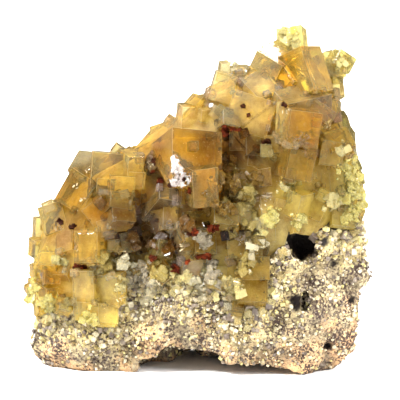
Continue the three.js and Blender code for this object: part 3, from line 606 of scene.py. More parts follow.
def add_growth_steps(shape):
    """Low plates with steep sides on the large faces, a little off the middle."""
    rng = random.Random(STEP_SEED)
    along = facet_layers(shape)[1]
    clear = [face for face in shape.faces if face.material_index == CLEAR_SLOT]
    for face in [face for face in clear if face.calc_area() > STEP_FACE and fills_its_box(face, face[along])]:
        for _ in range(rng.choice(STEP_COUNTS)):
            reach = math.sqrt(face.calc_area())
            inset = reach * rng.uniform(*STEP_INSET)
            bmesh.ops.inset_individual(shape, faces=[face], thickness=inset, depth=0)
            shift = face[along] * rng.uniform(-STEP_SHIFT, STEP_SHIFT)
            shift += face.normal.cross(face[along]) * rng.uniform(-STEP_SHIFT, STEP_SHIFT)
            for vert in face.verts:
                vert.co += shift * reach
            height = rng.uniform(*STEP_HEIGHT) * rng.choice((-1, 1, 1))
            bmesh.ops.inset_individual(shape, faces=[face], thickness=STEP_SLOPE, depth=height)


def bruise_anchors(tree, rows):
    return [(place, reach, depth * MM) for place, reach, depth in shown_places(tree, rows)]


def bruise_at(bruises, place):
    """How bruised a place is from 0 to 1, and how deep."""
    best, depth = 0.0, 0.0
    ragged = BRUISE_EDGE + BRUISE_UNEVEN * noise.noise(place / BRUISE_RAGS)
    for centre, reach, deep in bruises:
        share = 1 - (place - centre).length / (reach * ragged)
        if share > best:
            best, depth = share, deep
    return min(1.0, BRUISE_RISE * best), depth


def break_bruises(shape, bruises):
    """Splits the bruised places finely and breaks their surface inwards."""
    for _ in range(BRUISE_ROUNDS):
        near = [
            edge for edge in shape.edges
            if edge.calc_length() > BRUISE_STEP and bruise_at(bruises, edge.verts[0].co)[0] > 0
        ]
        bmesh.ops.subdivide_edges(shape, edges=near, cuts=1)
        triangulate(shape)
    shape.normal_update()
    moves = []
    for vert in shape.verts:
        share, depth = bruise_at(bruises, vert.co)
        if share > 0:
            rough = BRUISE_MIDDLE
            for height, width in BRUISE_ROUGHS:
                rough += noise_of(vert.co, height, width)
            moves.append((vert, vert.co - vert.normal * (share * depth * max(0.0, rough))))
    for vert, place in moves:
        vert.co = place


def worn_crust(facets, rock_tree, bruises, chips):
    """The crust with its crystals' edges taken off, growth steps, bruises and chips."""
    shape = facets.copy()
    bevelled = bmesh.ops.bevel(
        shape, geom=[edge for edge in shape.edges if is_outer_edge(edge)], offset=EDGE_BEVEL, segments=1,
        profile=0.5, affect="EDGES", clamp_overlap=False, material=-1,
    )
    for face in bevelled["faces"]:
        face.material_index = WORN_SLOT
    mark_roots(shape, rock_tree)
    add_growth_steps(shape)
    refine(shape, FACE_STEP)
    break_bruises(shape, bruises + chips)
    mark_chips(shape, chips)
    return shape


def crystal_mesh(facets, rock_tree, anchors, bruises, chips):
    """The worn crust, with each crystal's colour and how far each point is from an edge."""
    shape = worn_crust(facets, rock_tree, bruises, chips)
    worn = [float(face.material_index == WORN_SLOT) for face in shape.faces]
    for face in shape.faces:
        if face.material_index == WORN_SLOT:
            face.material_index = CLEAR_SLOT
    tint = facet_layers(shape)[0]
    tints = np.array([tuple(face[tint]) for face in shape.faces])
    for name in ("tint", "along"):
        shape.faces.layers.float_vector.remove(shape.faces.layers.float_vector[name])
    mesh = finished_mesh("fluorite_crystals", shape)
    corner_verts = np.zeros(len(mesh.loops), dtype=np.int32)
    mesh.loops.foreach_get("vertex_index", corner_verts)
    flow = flowing_colours(anchors, np.array([vert.co[:] for vert in mesh.vertices]))[corner_verts]
    set_crystal_tint(mesh, FACE_SHARE * np.repeat(tints, 3, axis=0) + (1 - FACE_SHARE) * flow)
    # painted highlight along the crystals' outer edges
    set_values(mesh, "rim_highlight", nearness(filter(is_outer_edge, facets.edges), mesh, RIM_HIGHLIGHT_WIDTH))
    # painted shade along the creases where crystals meet
    set_values(mesh, "joint_shade", nearness(filter(is_joint, facets.edges), mesh, JOINT_SHADE_WIDTH))
    set_values(mesh, "bruise", [bruise_at(bruises, vert.co)[0] for vert in mesh.vertices])
    set_values(mesh, "worn", worn, "FACE")
    return mesh


# The stone

def remeshed(shape, voxel):
    """A solid as an even mesh of small faces."""
    mesh = bpy.data.meshes.new("stone")
    shape.to_mesh(mesh)
    thing = bpy.data.objects.new("stone", mesh)
    bpy.context.scene.collection.objects.link(thing)
    modifier = thing.modifiers.new("even", "REMESH")
    modifier.mode = "VOXEL"
    modifier.voxel_size = voxel
    modifier.adaptivity = 0
    even = bpy.data.meshes.new_from_object(thing.evaluated_get(bpy.context.evaluated_depsgraph_get()))
    bpy.data.objects.remove(thing)
    return even


def keep_main_island(mesh):
    """Takes off the loose crumbs that the even mesh leaves."""
    shape = bmesh.new()
    shape.from_mesh(mesh)
    islands, left = [], set(shape.verts)
    while left:
        front = [left.pop()]
        island = set(front)
        while front:
            vert = front.pop()
            fresh = {edge.other_vert(vert) for edge in vert.link_edges} & left
            left -= fresh
            island |= fresh
            front += fresh
        islands.append(island)
    main = max(islands, key=len)
    crumbs = [vert for island in islands if island is not main for vert in island]
    bmesh.ops.delete(shape, geom=crumbs, context="VERTS")
    shape.to_mesh(mesh)
    shape.free()


def stone_relief(place):
    """Height in millimetres at a place given in millimetres: knobs, grains and pits."""
    cells, _ = noise.voronoi(place / GRAINS[1])
    height = noise_of(place, *KNOBS) + GRAINS[0] * (GRAIN_MIDDLE - cells[0]) + noise_of(place, *FINE_GRAINS)
    pit = noise.noise(place / PITS[1] + PIT_PLACE)
    return height - PITS[0] * max(0.0, pit - PIT_START)


def is_covered(crust_tree, place, outward):
    """Whether the crust lies over a place of the stone."""
    return crust_tree.ray_cast(place + outward * COVER_START, outward, COVER_REACH)[0] is not None


def clamped(share):
    return min(1.0, max(0.0, share))


def painted_hole_shade(holes, place):
    """How far inside a hole, painted dark as its shade, a place is, from 0 to 1."""
    ragged = HOLE_EDGE + HOLE_UNEVEN * noise.noise(place / HOLE_RAGS)
    return max(clamped(HOLE_RISE * (ragged - (place - centre).length / reach)) for centre, reach in holes)


def stone_mesh(rock, crust_tree, holes):
    mesh = remeshed(rock, STONE_VOXEL)
    keep_main_island(mesh)
    heights, places = [], []
    for vert in mesh.vertices:
        height = stone_relief(vert.co / MM)
        foot = clamped((vert.co.z - FOOT_START) / FOOT_FADE)
        place = vert.co + vert.normal * (height * foot * MM)
        place.z = max(place.z, 0.0)
        heights.append(height)
        places.append(place)
    mesh.vertices.foreach_set("co", [c for place in places for c in place])
    # painted shade: the lower the relief, the more shade
    set_values(mesh, "hollow_shade", np.clip(0.5 - np.array(heights, dtype=np.float32) / HOLLOW_DEPTH, 0, 1))
    away = [crust_tree.find_nearest(place)[3] for place in places]
    set_values(mesh, "near_crust", [math.exp(-gap / GOLD_FADE) for gap in away])
    # painted shade inside the holes
    set_values(mesh, "dark", [painted_hole_shade(holes, place) for place in places])
    mesh.update()
    return mesh


# Small crystals and grains, as joined copies of a few shapes

def cube_shape(bevel=0.0):
    shape = bmesh.new()
    bmesh.ops.create_cube(shape, size=1)
    if bevel:
        bmesh.ops.bevel(
            shape, geom=shape.edges[:], offset=bevel, segments=1, profile=0.5, affect="EDGES", material=-1
        )
    return shape


def crumb_shape(seed):
    """A grain with knocked-about corners."""
    shape = bmesh.new()
    bmesh.ops.create_icosphere(shape, subdivisions=1, radius=CRUMB_RADIUS)
    rng = random.Random(seed)
    for vert in shape.verts:
        vert.co *= CRUMB_LEAST + CRUMB_UNEVEN * rng.random()
    return shape


def shard_shape(seed):
    """A block with uneven corners."""
    shape = cube_shape()
    rng = random.Random(seed)
    for vert in shape.verts:
        vert.co = Vector([c * rng.uniform(*SHARD_CORNERS) for c in vert.co])
    return shape


def joined_copies(name, shapes, placings):
    """One mesh of many copies. A placing is a shape's number, a matrix and a linear colour."""
    moulds = []
    for shape in shapes:
        triangulate(shape)
        shape.verts.ensure_lookup_table()
        points = np.array([vert.co[:] for vert in shape.verts])
        corners = np.array([[vert.index for vert in face.verts] for face in shape.faces])
        moulds.append((points, corners))
        shape.free()
    all_points, all_corners, all_colours = [], [], []
    start = 0
    for number, matrix, colour in placings:
        points, corners = moulds[number]
        turn = np.array(matrix)
        all_points.append(points @ turn[:3, :3].T + turn[:3, 3])
        all_corners.append(corners + start)
        all_colours.append(np.tile(colour[:], (corners.size, 1)))
        start += len(points)
    mesh = bpy.data.meshes.new(name)
    mesh.from_pydata(np.concatenate(all_points).tolist(), [], np.concatenate(all_corners).tolist())
    set_crystal_tint(mesh, np.concatenate(all_colours))
    mesh.update()
    return mesh


def random_points(shape, count, rng):
    """Places spread evenly over a shape's surface, with the faces that they lie on."""
    triangulate(shape)
    faces = [face for face in shape.faces if face.calc_area() > LEAST_FACE]
    for face in rng.choices(faces, weights=[face.calc_area() for face in faces], k=count):
        a, b = rng.random(), rng.random()
        if a + b > 1:
            a, b = 1 - a, 1 - b
        first, second, third = (vert.co for vert in face.verts)
        yield first + (second - first) * a + (third - first) * b, face


def random_axis(rng):
    return Vector((rng.gauss(0, 1), rng.gauss(0, 1), rng.gauss(0, 1))).normalized()


def random_turn(rng):
    axis = random_axis(rng)
    return Matrix.Rotation(rng.random() * math.tau, 4, axis)


def random_size(rng, least, more, rarer):
    return (least + more * rng.random() ** rarer) * MM


def uneven(rng, size, spread):
    return [size * rng.uniform(*spread) for _ in range(3)]


def placed(place, turn, sizes):
    return Matrix.Translation(place) @ turn @ Matrix.Diagonal((*sizes, 1))


def shelter(tree, place, outward):
    """The share of outward ways that the crystals close in on within a few millimetres."""
    start = place + outward * HOLLOW_START
    ways = [way for way in HOLLOW_WAYS if way.dot(outward) > HOLLOW_LEAN]
    return sum(1 for way in ways if tree.ray_cast(start, way, HOLLOW_REACH)[0] is not None) / len(ways)


def crumble_share(crumbles, place):
    return max(
        share * max(0.0, CRUMBLE_EDGE - (place - centre).length / reach) for centre, reach, share in crumbles
    )


def set_on_face(face, along, rng, lean):
    """The turn of a cube that grew nearly square to a face."""
    up = face.normal
    side = up.cross(along).normalized()
    square = Matrix((side.cross(up), side, up)).transposed().to_4x4()
    axis = random_axis(rng)
    return square @ Matrix.Rotation(rng.gauss(0, lean), 4, axis)


def inside_box(place, reach):
    low, high = SOLID_BOX
    return all(low[i] < place[i] - reach and place[i] + reach < high[i] for i in range(3))


def is_seat(rock_tree, place, outward):
    """Whether a place of the crust is on its inside, against the stone."""
    _, inward, _, to_rock = rock_tree.find_nearest(place)
    return to_rock < SEAT_REACH and inward.dot(outward) < 0


def small_crystal_placings(facets, crust_tree, rock_tree, crumbles):
    """Small cubes in the hollows between the large ones, grown nearly square to what carries them."""
    rng = random.Random(SMALL_SEED)
    tint, along = facet_layers(facets)
    for place, face in random_points(facets, SMALL_TRIES, rng):
        if is_seat(rock_tree, place, face.normal):
            continue
        closed = shelter(crust_tree, place, face.normal)
        crumbly = crumble_share(crumbles, place)
        if rng.random() > LEAST_SHARE + HOLLOW_SHARE * closed ** 3 + crumbly * (CRUMBLE_SHARE + closed):
            continue
        size = random_size(rng, *SMALL_SIZE)
        colour = face[tint] * rng.uniform(*SMALL_SHADES)
        sizes = uneven(rng, size, SMALL_SIDES)
        lean = SQUARE_LEAN if rng.random() < SQUARE_SHARE else LOOSE_LEAN
        turn = set_on_face(face, face[along], rng, lean)
        yield 0, placed(place - face.normal * (SMALL_SINK * size), turn, sizes), colour


def back_crystal_placings(facets, rock_tree):
    """Cubes of all sizes over the rounded back and right side of the crust, leaning every way."""
    rng = random.Random(BACK_SEED)
    tint, along = facet_layers(facets)
    for place, face in random_points(facets, BACK_TRIES, rng):
        outward = face.normal
        at_back = outward.dot(INWARD) > BACK_FROM and place.y > BACK_START
        at_right = outward.x > FLANK_FROM and place.y > FLANK_START and place.z < FLANK_TOP
        if is_seat(rock_tree, place, outward) or not (at_back or at_right):
            continue
        size = random_size(rng, *BACK_SIZE)
        if inside_box(place, BACK_ROOM * size):
            sizes = uneven(rng, size, BACK_SIDES)
            turn = set_on_face(face, face[along], rng, BACK_LEAN)
            colour = face[tint] * rng.uniform(*BACK_SHADES)
            yield 0, placed(place - outward * (BACK_SINK * size), turn, sizes), colour


def fringe_placings(rock, crust_tree, holes):
    """Small pale crystals on the stone, thinning out below the crust's lower edge."""
    rng = random.Random(FRINGE_SEED)
    pale = [Vector(screen(colour)) for colour in FRINGE_COLOURS]
    least, more, rarer = FRINGE_SIZE
    for place, face in random_points(rock, FRINGE_TRIES, rng):
        away = crust_tree.find_nearest(place)[3]
        near = math.exp(-max(0.0, away - CRUST_GAP * MM) / FRINGE_FADE)
        if away < CRUST_GAP * MM or place.z < FRINGE_FOOT or rng.random() > FRINGE_SHARE * near:
            continue
        if painted_hole_shade(holes, place) > DARK_LIMIT or is_covered(crust_tree, place, face.normal):
            continue
        size = random_size(rng, least, more * near, rarer)
        sizes = uneven(rng, size, FRINGE_SIDES)
        colour = rng.choice(pale) * rng.uniform(*FRINGE_SHADES)
        kind, turn = rng.choice((0, 1, 2)), random_turn(rng)
        yield kind, placed(place + face.normal * (FRINGE_RISE * size), turn, sizes), colour


def patch_placings(trees, holes):
    """Patches of small cloudy crystals where the crust crumbles."""
    rng = random.Random(PATCH_SEED)
    for across, down, reach, colour in PATCHES:
        for _ in range(int(PATCH_CROWD * reach * reach)):
            spot = [middle + rng.gauss(0, PATCH_SPREAD) * reach for middle in (across, down)]
            place = first_hit(trees, *spot)
            if place is None or painted_hole_shade(holes, place) > DARK_LIMIT:
                continue
            size = random_size(rng, *PATCH_SIZE)
            sizes = uneven(rng, size, PATCH_SIDES)
            shade = Vector(screen(COLOURS[colour])) * rng.uniform(*PATCH_SHADES)
            yield rng.choice((0, 1, 2)), placed(place, random_turn(rng), sizes), shade


def sugar_placings(rock, crust_tree, holes):
    """Pale grains and a few cubes along the crust's lower edge and over the bare stone."""
    rng = random.Random(SUGAR_SEED)
    pale = [Vector(screen(colour)) for colour in SUGAR_COLOURS]
    least, more, rarer = SUGAR_SIZE
    for place, face in random_points(rock, SUGAR_TRIES, rng):
        outward = face.normal
        if outward.z < UNDERSIDE or place.z < SUGAR_FOOT or painted_hole_shade(holes, place) > DARK_LIMIT:
            continue
        away = crust_tree.find_nearest(place)[3]
        if away < CRUST_GAP * MM:
            continue
        near = math.exp(-(away / MM - CRUST_GAP) / SUGAR_FADE)
        if rng.random() > SUGAR_SHARE + SUGAR_NEAR_SHARE * near or is_covered(crust_tree, place, outward):
            continue
        size = random_size(rng, least, more + SUGAR_NEAR_SIZE * near, rarer)
        colour = rng.choice(pale) * rng.uniform(*SUGAR_SHADES)
        sizes = uneven(rng, size, SUGAR_SIDES)
        kind = 0 if rng.random() < SUGAR_CUBES + SUGAR_NEAR_CUBES * near else rng.choice((1, 2))
        turn = random_turn(rng)
        yield kind, placed(place + outward * (SUGAR_RISE * size), turn, sizes), colour


def grain_placings(crust_tree):
    rng = random.Random(GRAIN_SEED)
    for across, down, spread, fall, count, shade in GRAIN_SPOTS:
        for _ in range(count):
            eye, way = photo_ray(across + rng.uniform(-1, 1) * spread, down + rng.uniform(-1, 1) * fall)
            place = crust_tree.ray_cast(eye, way)[0]
            if place is None:
                continue
            sizes = uneven(rng, rng.uniform(*IRON_SIZE) * MM, IRON_SIDES)
            colour = Vector(screen(shade)) * rng.uniform(*IRON_SHADES)
            kind, turn = rng.choice((0, 1)), random_turn(rng)
            yield kind, placed(place - way * GRAIN_OUT, turn, sizes), colour


def facing_turn(slope):
    """The turn of a thing whose length follows a slope and whose flat side faces the eye."""
    lean = math.radians(slope)
    along = RIGHTWARD * math.cos(lean) - UPWARD * math.sin(lean)
    return Matrix((along, -INWARD.cross(along), -INWARD)).transposed().to_4x4()


def bar_place(crust_tree, across, down, reach):
    """Where a larger red piece lies, in front of all that it lies on, or None."""
    steps = ((0, 0), (-reach, 0), (reach, 0), (0, -BAR_PROBE), (0, BAR_PROBE))
    hits = [first_hit([crust_tree], across + right, down + fall) for right, fall in steps]
    if hits[0] is None:
        return None
    forward = max((hits[0] - hit).dot(INWARD) for hit in hits if hit is not None)
    return hits[0] - INWARD * (forward + GRAIN_OUT)


def bar_placings(crust_tree):
    """The larger red pieces, as grains in bars."""
    rng = random.Random(BAR_SEED)
    for across, down, length, width, slope in RED_BARS:
        place = bar_place(crust_tree, across, down, BAR_REACH * max(length, width))
        if place is None:
            continue
        turn = facing_turn(slope)
        for _ in range(int(BAR_LEAST + length * width / BAR_CROWD)):
            along, aside = (
                rng.uniform(-spread, spread) * real(span) for spread, span in zip(BAR_SPREAD, (length, width))
            )
            sizes = [rng.uniform(*side) * MM for side in BAR_SIDES]
            flat, tipped = (
                Matrix.Rotation(rng.gauss(0, lean), 4, axis) for lean, axis in zip(BAR_LEANS, "ZX")
            )
            colour = Vector(screen(RED)) * rng.uniform(*BAR_SHADES)
            shift = turn @ Vector((along, aside, 0))
            yield rng.choice((0, 1)), placed(place + shift, turn @ flat @ tipped, sizes), colour


def blade_placings(trees):
    """Splinters lying together in loose sheaves; their white also stands in for glints."""
    rng = random.Random(BLADE_SEED)
    white = Vector(screen(BLADE_GLINT_WHITE))
    for across, down, length, slope in BLADES:
        for _ in range(BLADES_EACH):
            shifts = [rng.uniform(-scatter, scatter) for scatter in BLADE_SCATTER]
            place = first_hit(trees, across + shifts[0], down + shifts[1])
            if place is None:
                continue
            reach = real(length) * rng.uniform(*BLADE_LENGTH)
            sizes = (BLADE_SHARE * reach, rng.uniform(*BLADE_WIDTH) * MM, rng.uniform(*BLADE_THICKNESS) * MM)
            tip = Matrix.Rotation(rng.uniform(-BLADE_TIP, BLADE_TIP), 4, "Y")
            roll = Matrix.Rotation(rng.uniform(-BLADE_ROLL, BLADE_ROLL), 4, "X")
            turn = facing_turn(slope + rng.gauss(0, BLADE_FAN)) @ (tip @ roll)
            yield 0, placed(place, turn, sizes), white * rng.uniform(*BLADE_SHADES)


# Finishes

def new_material(name):
    material = bpy.data.materials.new(name)
    material.use_nodes = True
    tree = material.node_tree
    return material, tree, tree.nodes["Principled BSDF"]


def feed(tree, made, inputs):
    """Sets a node's inputs, by name or number. Each takes a value, or the socket that feeds it."""
    for key, value in inputs.items():
        if isinstance(value, bpy.types.NodeSocket):
            tree.links.new(value, made.inputs[key])
        else:
            made.inputs[key].default_value = value


def node(tree, kind, inputs=None, **settings):
    made = tree.nodes.new(kind)
    for key, value in settings.items():
        setattr(made, key, value)
    feed(tree, made, inputs or {})
    return made


def own_place(tree):
    return node(tree, "ShaderNodeTexCoord").outputs["Object"]


def carried(tree, name, output="Fac"):
    """What the mesh carries under this name."""
    return node(tree, "ShaderNodeAttribute", attribute_name=name).outputs[output]


def clouded(tree, place, scale, detail, roughness):
    inputs = {"Vector": place, "Scale": scale, "Detail": detail, "Roughness": roughness}
    return node(tree, "ShaderNodeTexNoise", inputs).outputs["Fac"]


def worked_out(tree, operation, *values, **settings):
    inputs = dict(enumerate(values))
    return node(tree, "ShaderNodeMath", inputs, operation=operation, **settings).outputs["Value"]


def ranged(tree, value, low=0.0, high=1.0, bottom=0.0, top=1.0):
    """The value's way from low to high, as one from bottom to top."""
    inputs = {"Value": value, "From Min": low, "From Max": high, "To Min": bottom, "To Max": top}
    return node(tree, "ShaderNodeMapRange", inputs).outputs["Result"]


def mixed(tree, factor, first, second, blend="MIX"):
    """A colour mix; factor, first and second are sockets or values."""
    inputs = {0: factor, 6: first, 7: second}
    return node(tree, "ShaderNodeMix", inputs, data_type="RGBA", blend_type=blend).outputs[2]


def bumped(tree, height, strength, distance):
    inputs = {"Height": height, "Strength": strength, "Distance": distance}
    return node(tree, "ShaderNodeBump", inputs).outputs["Normal"]


def mottle_group():
    """Clouds and flecks on an object's own coordinates: how pale, and how high, each point is. The pale
    flecks are partly inclusions and partly painted glints.
    """
    group = bpy.data.node_groups.new("crystal_mottle", "ShaderNodeTree")
    group.interface.new_socket("Vector", in_out="INPUT", socket_type="NodeSocketVector")
    for name in ("Cloud", "Fleck_and_glint", "Scatter", "Height"):
        group.interface.new_socket(name, in_out="OUTPUT", socket_type="NodeSocketFloat")
    place = node(group, "NodeGroupInput").outputs["Vector"]
    cloud = clouded(group, place, *CLOUDS)
    fine = clouded(group, place, *FLECKS)
    node(group, "NodeGroupOutput", {
        "Cloud": ranged(group, cloud, low=0.4, high=0.62),
        "Fleck_and_glint": ranged(group, fine, low=0.6, high=0.7, top=0.6),
        "Scatter": ranged(group, fine, low=0.48, high=0.6),
        "Height": worked_out(group, "MULTIPLY_ADD", fine, FLECK_HEIGHT, cloud),
    })
    return group


def mottled(tree, mottle):
    """What the mottle puts out on the object's own coordinates."""
    return node(tree, "ShaderNodeGroup", {"Vector": own_place(tree)}, node_tree=mottle).outputs


def fluorite_material(name, mottle, clear, rough, absorb, rim_highlight_share=0.0):
    """Clear to cloudy crystal. One glass for faces and worn edges, so that light leaves by any of them."""
    material, tree, shader = new_material(name)
    effect = mottled(tree, mottle)
    worn = carried(tree, "worn")
    scattered = worked_out(tree, "MULTIPLY", carried(tree, "bruise"), effect["Scatter"])
    broken = mixed(tree, effect["Cloud"], paint(BROKEN_LIGHT), paint(BROKEN_SHADE))
    layers = (
        # painted shade in the creases where crystals meet
        (worked_out(tree, "MULTIPLY", carried(tree, "joint_shade"), JOINT_SHADE_SHARE), paint(JOINT_SHADE_BROWN)),
        # painted highlight along the crystals' outer edges
        (worked_out(tree, "MULTIPLY", carried(tree, "rim_highlight"), rim_highlight_share), paint(PALE)),
        # pale flecks: partly inclusions, partly painted glints
        (effect["Fleck_and_glint"], paint(PALE)),
        (scattered, broken),
        # worn edges, paler partly as painted edge highlight
        (worked_out(tree, "MULTIPLY", worn, WORN_PALE_AND_HIGHLIGHT), paint(PALE)),
    )
    colour = mixed(tree, effect["Cloud"], carried(tree, "crystal_tint", "Color"), CLOUD_TINT, "MULTIPLY")
    for share, layer in layers:
        colour = mixed(tree, share, colour, layer)
    roughness = ranged(tree, effect["Cloud"], bottom=rough, top=rough + CLOUD_ROUGH)
    dulled = worked_out(tree, "MAXIMUM", roughness, scattered)
    feed(tree, shader, {
        "Base Color": colour,
        "Roughness": worked_out(tree, "MULTIPLY_ADD", worn, WORN_ROUGH, dulled),
        "Normal": bumped(tree, effect["Height"], strength=0.3, distance=0.2 * MM),
        "IOR": FLUORITE_IOR,
        "Transmission Weight": clear,
    })
    volume = node(tree, "ShaderNodeVolumeAbsorption", {"Color": ABSORPTION, "Density": absorb})
    feed(tree, tree.nodes["Material Output"], {"Volume": volume.outputs["Volume"]})
    return material


def cloudy_material(name, mottle, light, shade, tinted):
    """Opaque crystal: its roots on the stone, seen through it, and its white broken places."""
    material, tree, shader = new_material(name)
    effect = mottled(tree, mottle)
    ground = mixed(tree, effect["Cloud"], paint(light), paint(shade))
    feed(tree, shader, {
        "Base Color": mixed(tree, tinted, ground, carried(tree, "crystal_tint", "Color"), "MULTIPLY"),
        "Normal": bumped(tree, effect["Height"], strength=0.6, distance=0.4 * MM),
        "Roughness": 0.8,
    })
    return material


def stone_material():
    """Sugary cream stone: grains of many shades, dark specks in clusters, rust low down and at the right, and
    painted shade in the hollows of its relief and in its holes.
    """
    material, tree, shader = new_material("matrix_stone")
    place = own_place(tree)
    parts = node(tree, "ShaderNodeSeparateXYZ", {"Vector": place}).outputs
    grains = node(tree, "ShaderNodeTexVoronoi", {"Vector": place, "Scale": STONE_GRAINS}).outputs["Color"]
    specks = clouded(tree, place, *STONE_SPECKS)
    patches = ranged(tree, clouded(tree, place, *STONE_PATCHES), low=0.42, high=0.6)
    rust_low = ranged(tree, parts["Z"], low=0.022, high=0.0, top=0.24)
    rust_right = ranged(tree, parts["X"], low=0.02, high=0.042, top=0.1)
    rust = worked_out(tree, "ADD", rust_low, rust_right)
    rust = worked_out(tree, "ADD", rust, clouded(tree, place, *RUST_CLOUDS))
    speck = worked_out(tree, "MULTIPLY_ADD", clouded(tree, place, *SPECK_CLUSTERS), CLUSTERING, specks)
    colour = mixed(tree, patches, paint(STONE_COLOURS["shade"]), paint(STONE_COLOURS["light"]))
    colour = mixed(tree, carried(tree, "near_crust"), colour, paint(STONE_COLOURS["gold"]))
    shades = ranged(tree, grains, low=0.1, high=0.9, bottom=0.56, top=1.2)
    colour = mixed(tree, 1.0, colour, shades, "MULTIPLY")
    stains = {
        "rust": ranged(tree, rust, low=0.64, high=0.8, top=0.8),
        "speck": ranged(tree, speck, low=0.73, high=0.81),
        # painted shade in the low places of the relief
        "hollow_shade": ranged(tree, carried(tree, "hollow_shade"), low=0.55, top=0.5),
        # painted shade inside the holes
        "hole": carried(tree, "dark"),
    }
    for name, share in stains.items():
        colour = mixed(tree, share, colour, paint(STONE_COLOURS[name]))
    feed(tree, shader, {
        "Base Color": colour,
        "Roughness": ranged(tree, specks, bottom=0.55, top=0.95),
        "Normal": bumped(tree, specks, strength=0.8, distance=0.3 * MM),
    })
    return material


def grain_material(name, rough, speckle, gloss):
    """Opaque grains that take their own colour, speckled."""
    material, tree, shader = new_material(name)
    specks = clouded(tree, own_place(tree), *GRAIN_SPECKS)
    speckled = mixed(tree, ranged(tree, specks, low=0.35, high=0.65), speckle, WHITE)
    feed(tree, shader, {
        "Base Color": mixed(tree, 1.0, carried(tree, "crystal_tint", "Color"), speckled, "MULTIPLY"),
        "Specular IOR Level": gloss,
        "Roughness": ranged(tree, specks, bottom=rough, top=rough + GRAIN_ROUGH),
        "Normal": bumped(tree, specks, strength=0.6, distance=0.2 * MM),
    })
    return material


# Studio

def grey(value):
    return value, value, value, 1


def mirrored(tree):
    """Whether the surroundings are seen in a mirroring outside, and not through it."""
    path = node(tree, "ShaderNodeLightPath").outputs
    return worked_out(tree, "SUBTRACT", path["Is Glossy Ray"], path["Is Transmission Ray"], use_clamp=True)


def make_floor():
    shape = bmesh.new()
    bmesh.ops.create_grid(shape, x_segments=1, y_segments=1, size=FLOOR_REACH)
    mesh = finished_mesh("floor", shape)
    floor = bpy.data.objects.new("floor", mesh)
    bpy.context.scene.collection.objects.link(floor)
    material, tree, shader = new_material("floor_white")
    path = node(tree, "ShaderNodeLightPath").outputs
    seen = mixed(tree, path["Is Transmission Ray"], grey(FLOOR), grey(REFRACTED_FLOOR))
    feed(tree, shader, {
        "Base Color": mixed(tree, mirrored(tree), seen, grey(MIRRORED_FLOOR)),
        "Roughness": 0.9,
    })
    mesh.materials.append(material)


def make_world():
    """White all round for the eye; the light is strongest from behind, and weak from the front."""
    world = bpy.data.worlds.new("tent")
    bpy.context.scene.world = world
    world.use_nodes = True
    tree = world.node_tree
    path = node(tree, "ShaderNodeLightPath").outputs
    place = node(tree, "ShaderNodeTexCoord").outputs["Generated"]
    parts = node(tree, "ShaderNodeSeparateXYZ", {"Vector": place}).outputs
    depth = ranged(tree, parts["Y"], low=-0.9, high=0.35, bottom=0.8, top=1.5)
    inputs = {0: path["Is Camera Ray"], 2: depth, 3: 1.0}
    strength = node(tree, "ShaderNodeMix", inputs, data_type="FLOAT").outputs[0]
    for share, dimmed in ((path["Is Glossy Ray"], REFLECTED_ROOM), (mirrored(tree), MIRRORED_ROOM)):
        strength = worked_out(tree, "MULTIPLY", strength, ranged(tree, share, bottom=1.0, top=dimmed))
    feed(tree, tree.nodes["Background"], {"Color": WHITE, "Strength": strength})


def make_lamp(name, place, size, watts, is_mirrored):
    data = bpy.data.lights.new(name, "AREA")
    data.shape = "DISK"
    data.size = size
    data.energy = watts
    lamp = bpy.data.objects.new(name, data)
    lamp.location = place
    lamp.visible_transmission = False
    lamp.visible_glossy = is_mirrored
    lamp.rotation_mode = "QUATERNION"
    lamp.rotation_quaternion = (camera_target() - Vector(place)).to_track_quat("-Z", "Y")
    bpy.context.scene.collection.objects.link(lamp)


def make_studio():
    make_floor()
    make_world()
    for lamp in LAMPS:
        make_lamp(*lamp)
    scene = bpy.context.scene
    scene.view_settings.view_transform = "Standard"
    scene.cycles.use_denoising = True
    scene.cycles.max_bounces = 16
    scene.cycles.transmission_bounces = 14
    scene.cycles.transparent_max_bounces = 8


# The specimen

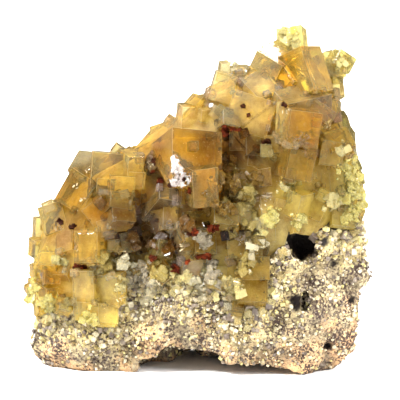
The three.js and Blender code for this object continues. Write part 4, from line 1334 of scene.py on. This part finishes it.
def make_crust(crust_tree, rock_tree, facets, mottle):
    anchors = zone_anchors(crust_tree)
    set_tints(facets, anchors)
    bruises = bruise_anchors(crust_tree, BRUISES)
    chips = bruise_anchors(crust_tree, CHIPS)
    clear = fluorite_material("fluorite_clear", mottle, clear=0.9, rough=0.04, absorb=200.0, rim_highlight_share=0.15)
    root = cloudy_material("fluorite_root", mottle, ROOT_LIGHT, ROOT_SHADE, tinted=0.5)
    chip = cloudy_material("fluorite_chip", mottle, CHIP_LIGHT, CHIP_SHADE, tinted=0.0)
    mesh = crystal_mesh(facets, rock_tree, anchors, bruises, chips)
    crystals = piece("fluorite_crystals", mesh, [clear, root, chip])
    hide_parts("fluorite_crust")


def strew(name, shapes, material, slot, *growths):
    """A piece of many small copies, from one or more growths of placings."""
    placings = [placing for growth in growths for placing in growth]
    piece(name, joined_copies(name, shapes, placings), [material])


def make_specimen():
    crust = welded_copy("fluorite_crust")
    rock = welded_copy("matrix_rock")
    crust_tree = tree_of(crust)
    rock_tree = tree_of(rock)
    facets = faceted(crust)
    holes = shown_places(rock_tree, HOLES)
    mottle = mottle_group()
    druse = fluorite_material("fluorite_druse", mottle, clear=0.88, rough=0.08, absorb=90.0)
    pale_druse = fluorite_material("fluorite_pale", mottle, clear=0.7, rough=0.16, absorb=15.0)
    sugar = grain_material("pale_sugar", rough=0.3, speckle=(0.62, 0.55, 0.45, 1), gloss=0.5)
    iron = grain_material("iron_oxide", rough=0.45, speckle=(0.35, 0.25, 0.2, 1), gloss=0.05)

    make_crust(crust_tree, rock_tree, facets, mottle)
    stone = piece("stone", stone_mesh(rock, crust_tree, holes), [stone_material()])
    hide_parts("matrix_rock")

    small = small_crystal_placings(facets, crust_tree, rock_tree, shown_places(crust_tree, CRUMBLES))
    back = back_crystal_placings(facets, rock_tree)
    strew("small_crystals", [cube_shape(bevel=0.06)], druse, "fluorite", small, back)
    fringe = fringe_placings(rock, crust_tree, holes)
    patches = patch_placings((crust_tree, rock_tree), holes)
    shapes = [cube_shape(bevel=0.06), shard_shape(seed=2), shard_shape(seed=3)]
    strew("pale_crystals", shapes, pale_druse, "fluorite", fringe, patches)
    shapes = [cube_shape(), crumb_shape(seed=1), crumb_shape(seed=2)]
    strew("pale_grains", shapes, sugar, "matrix", sugar_placings(rock, crust_tree, holes))
    shapes = [shard_shape(seed=4), shard_shape(seed=6)]
    strew("iron_grains", shapes, iron, "matrix", grain_placings(crust_tree), bar_placings(crust_tree))
    strew("white_blades", [cube_shape(bevel=0.04)], sugar, "matrix", blade_placings((crust_tree, rock_tree)))


make_camera()
make_studio()
make_specimen()
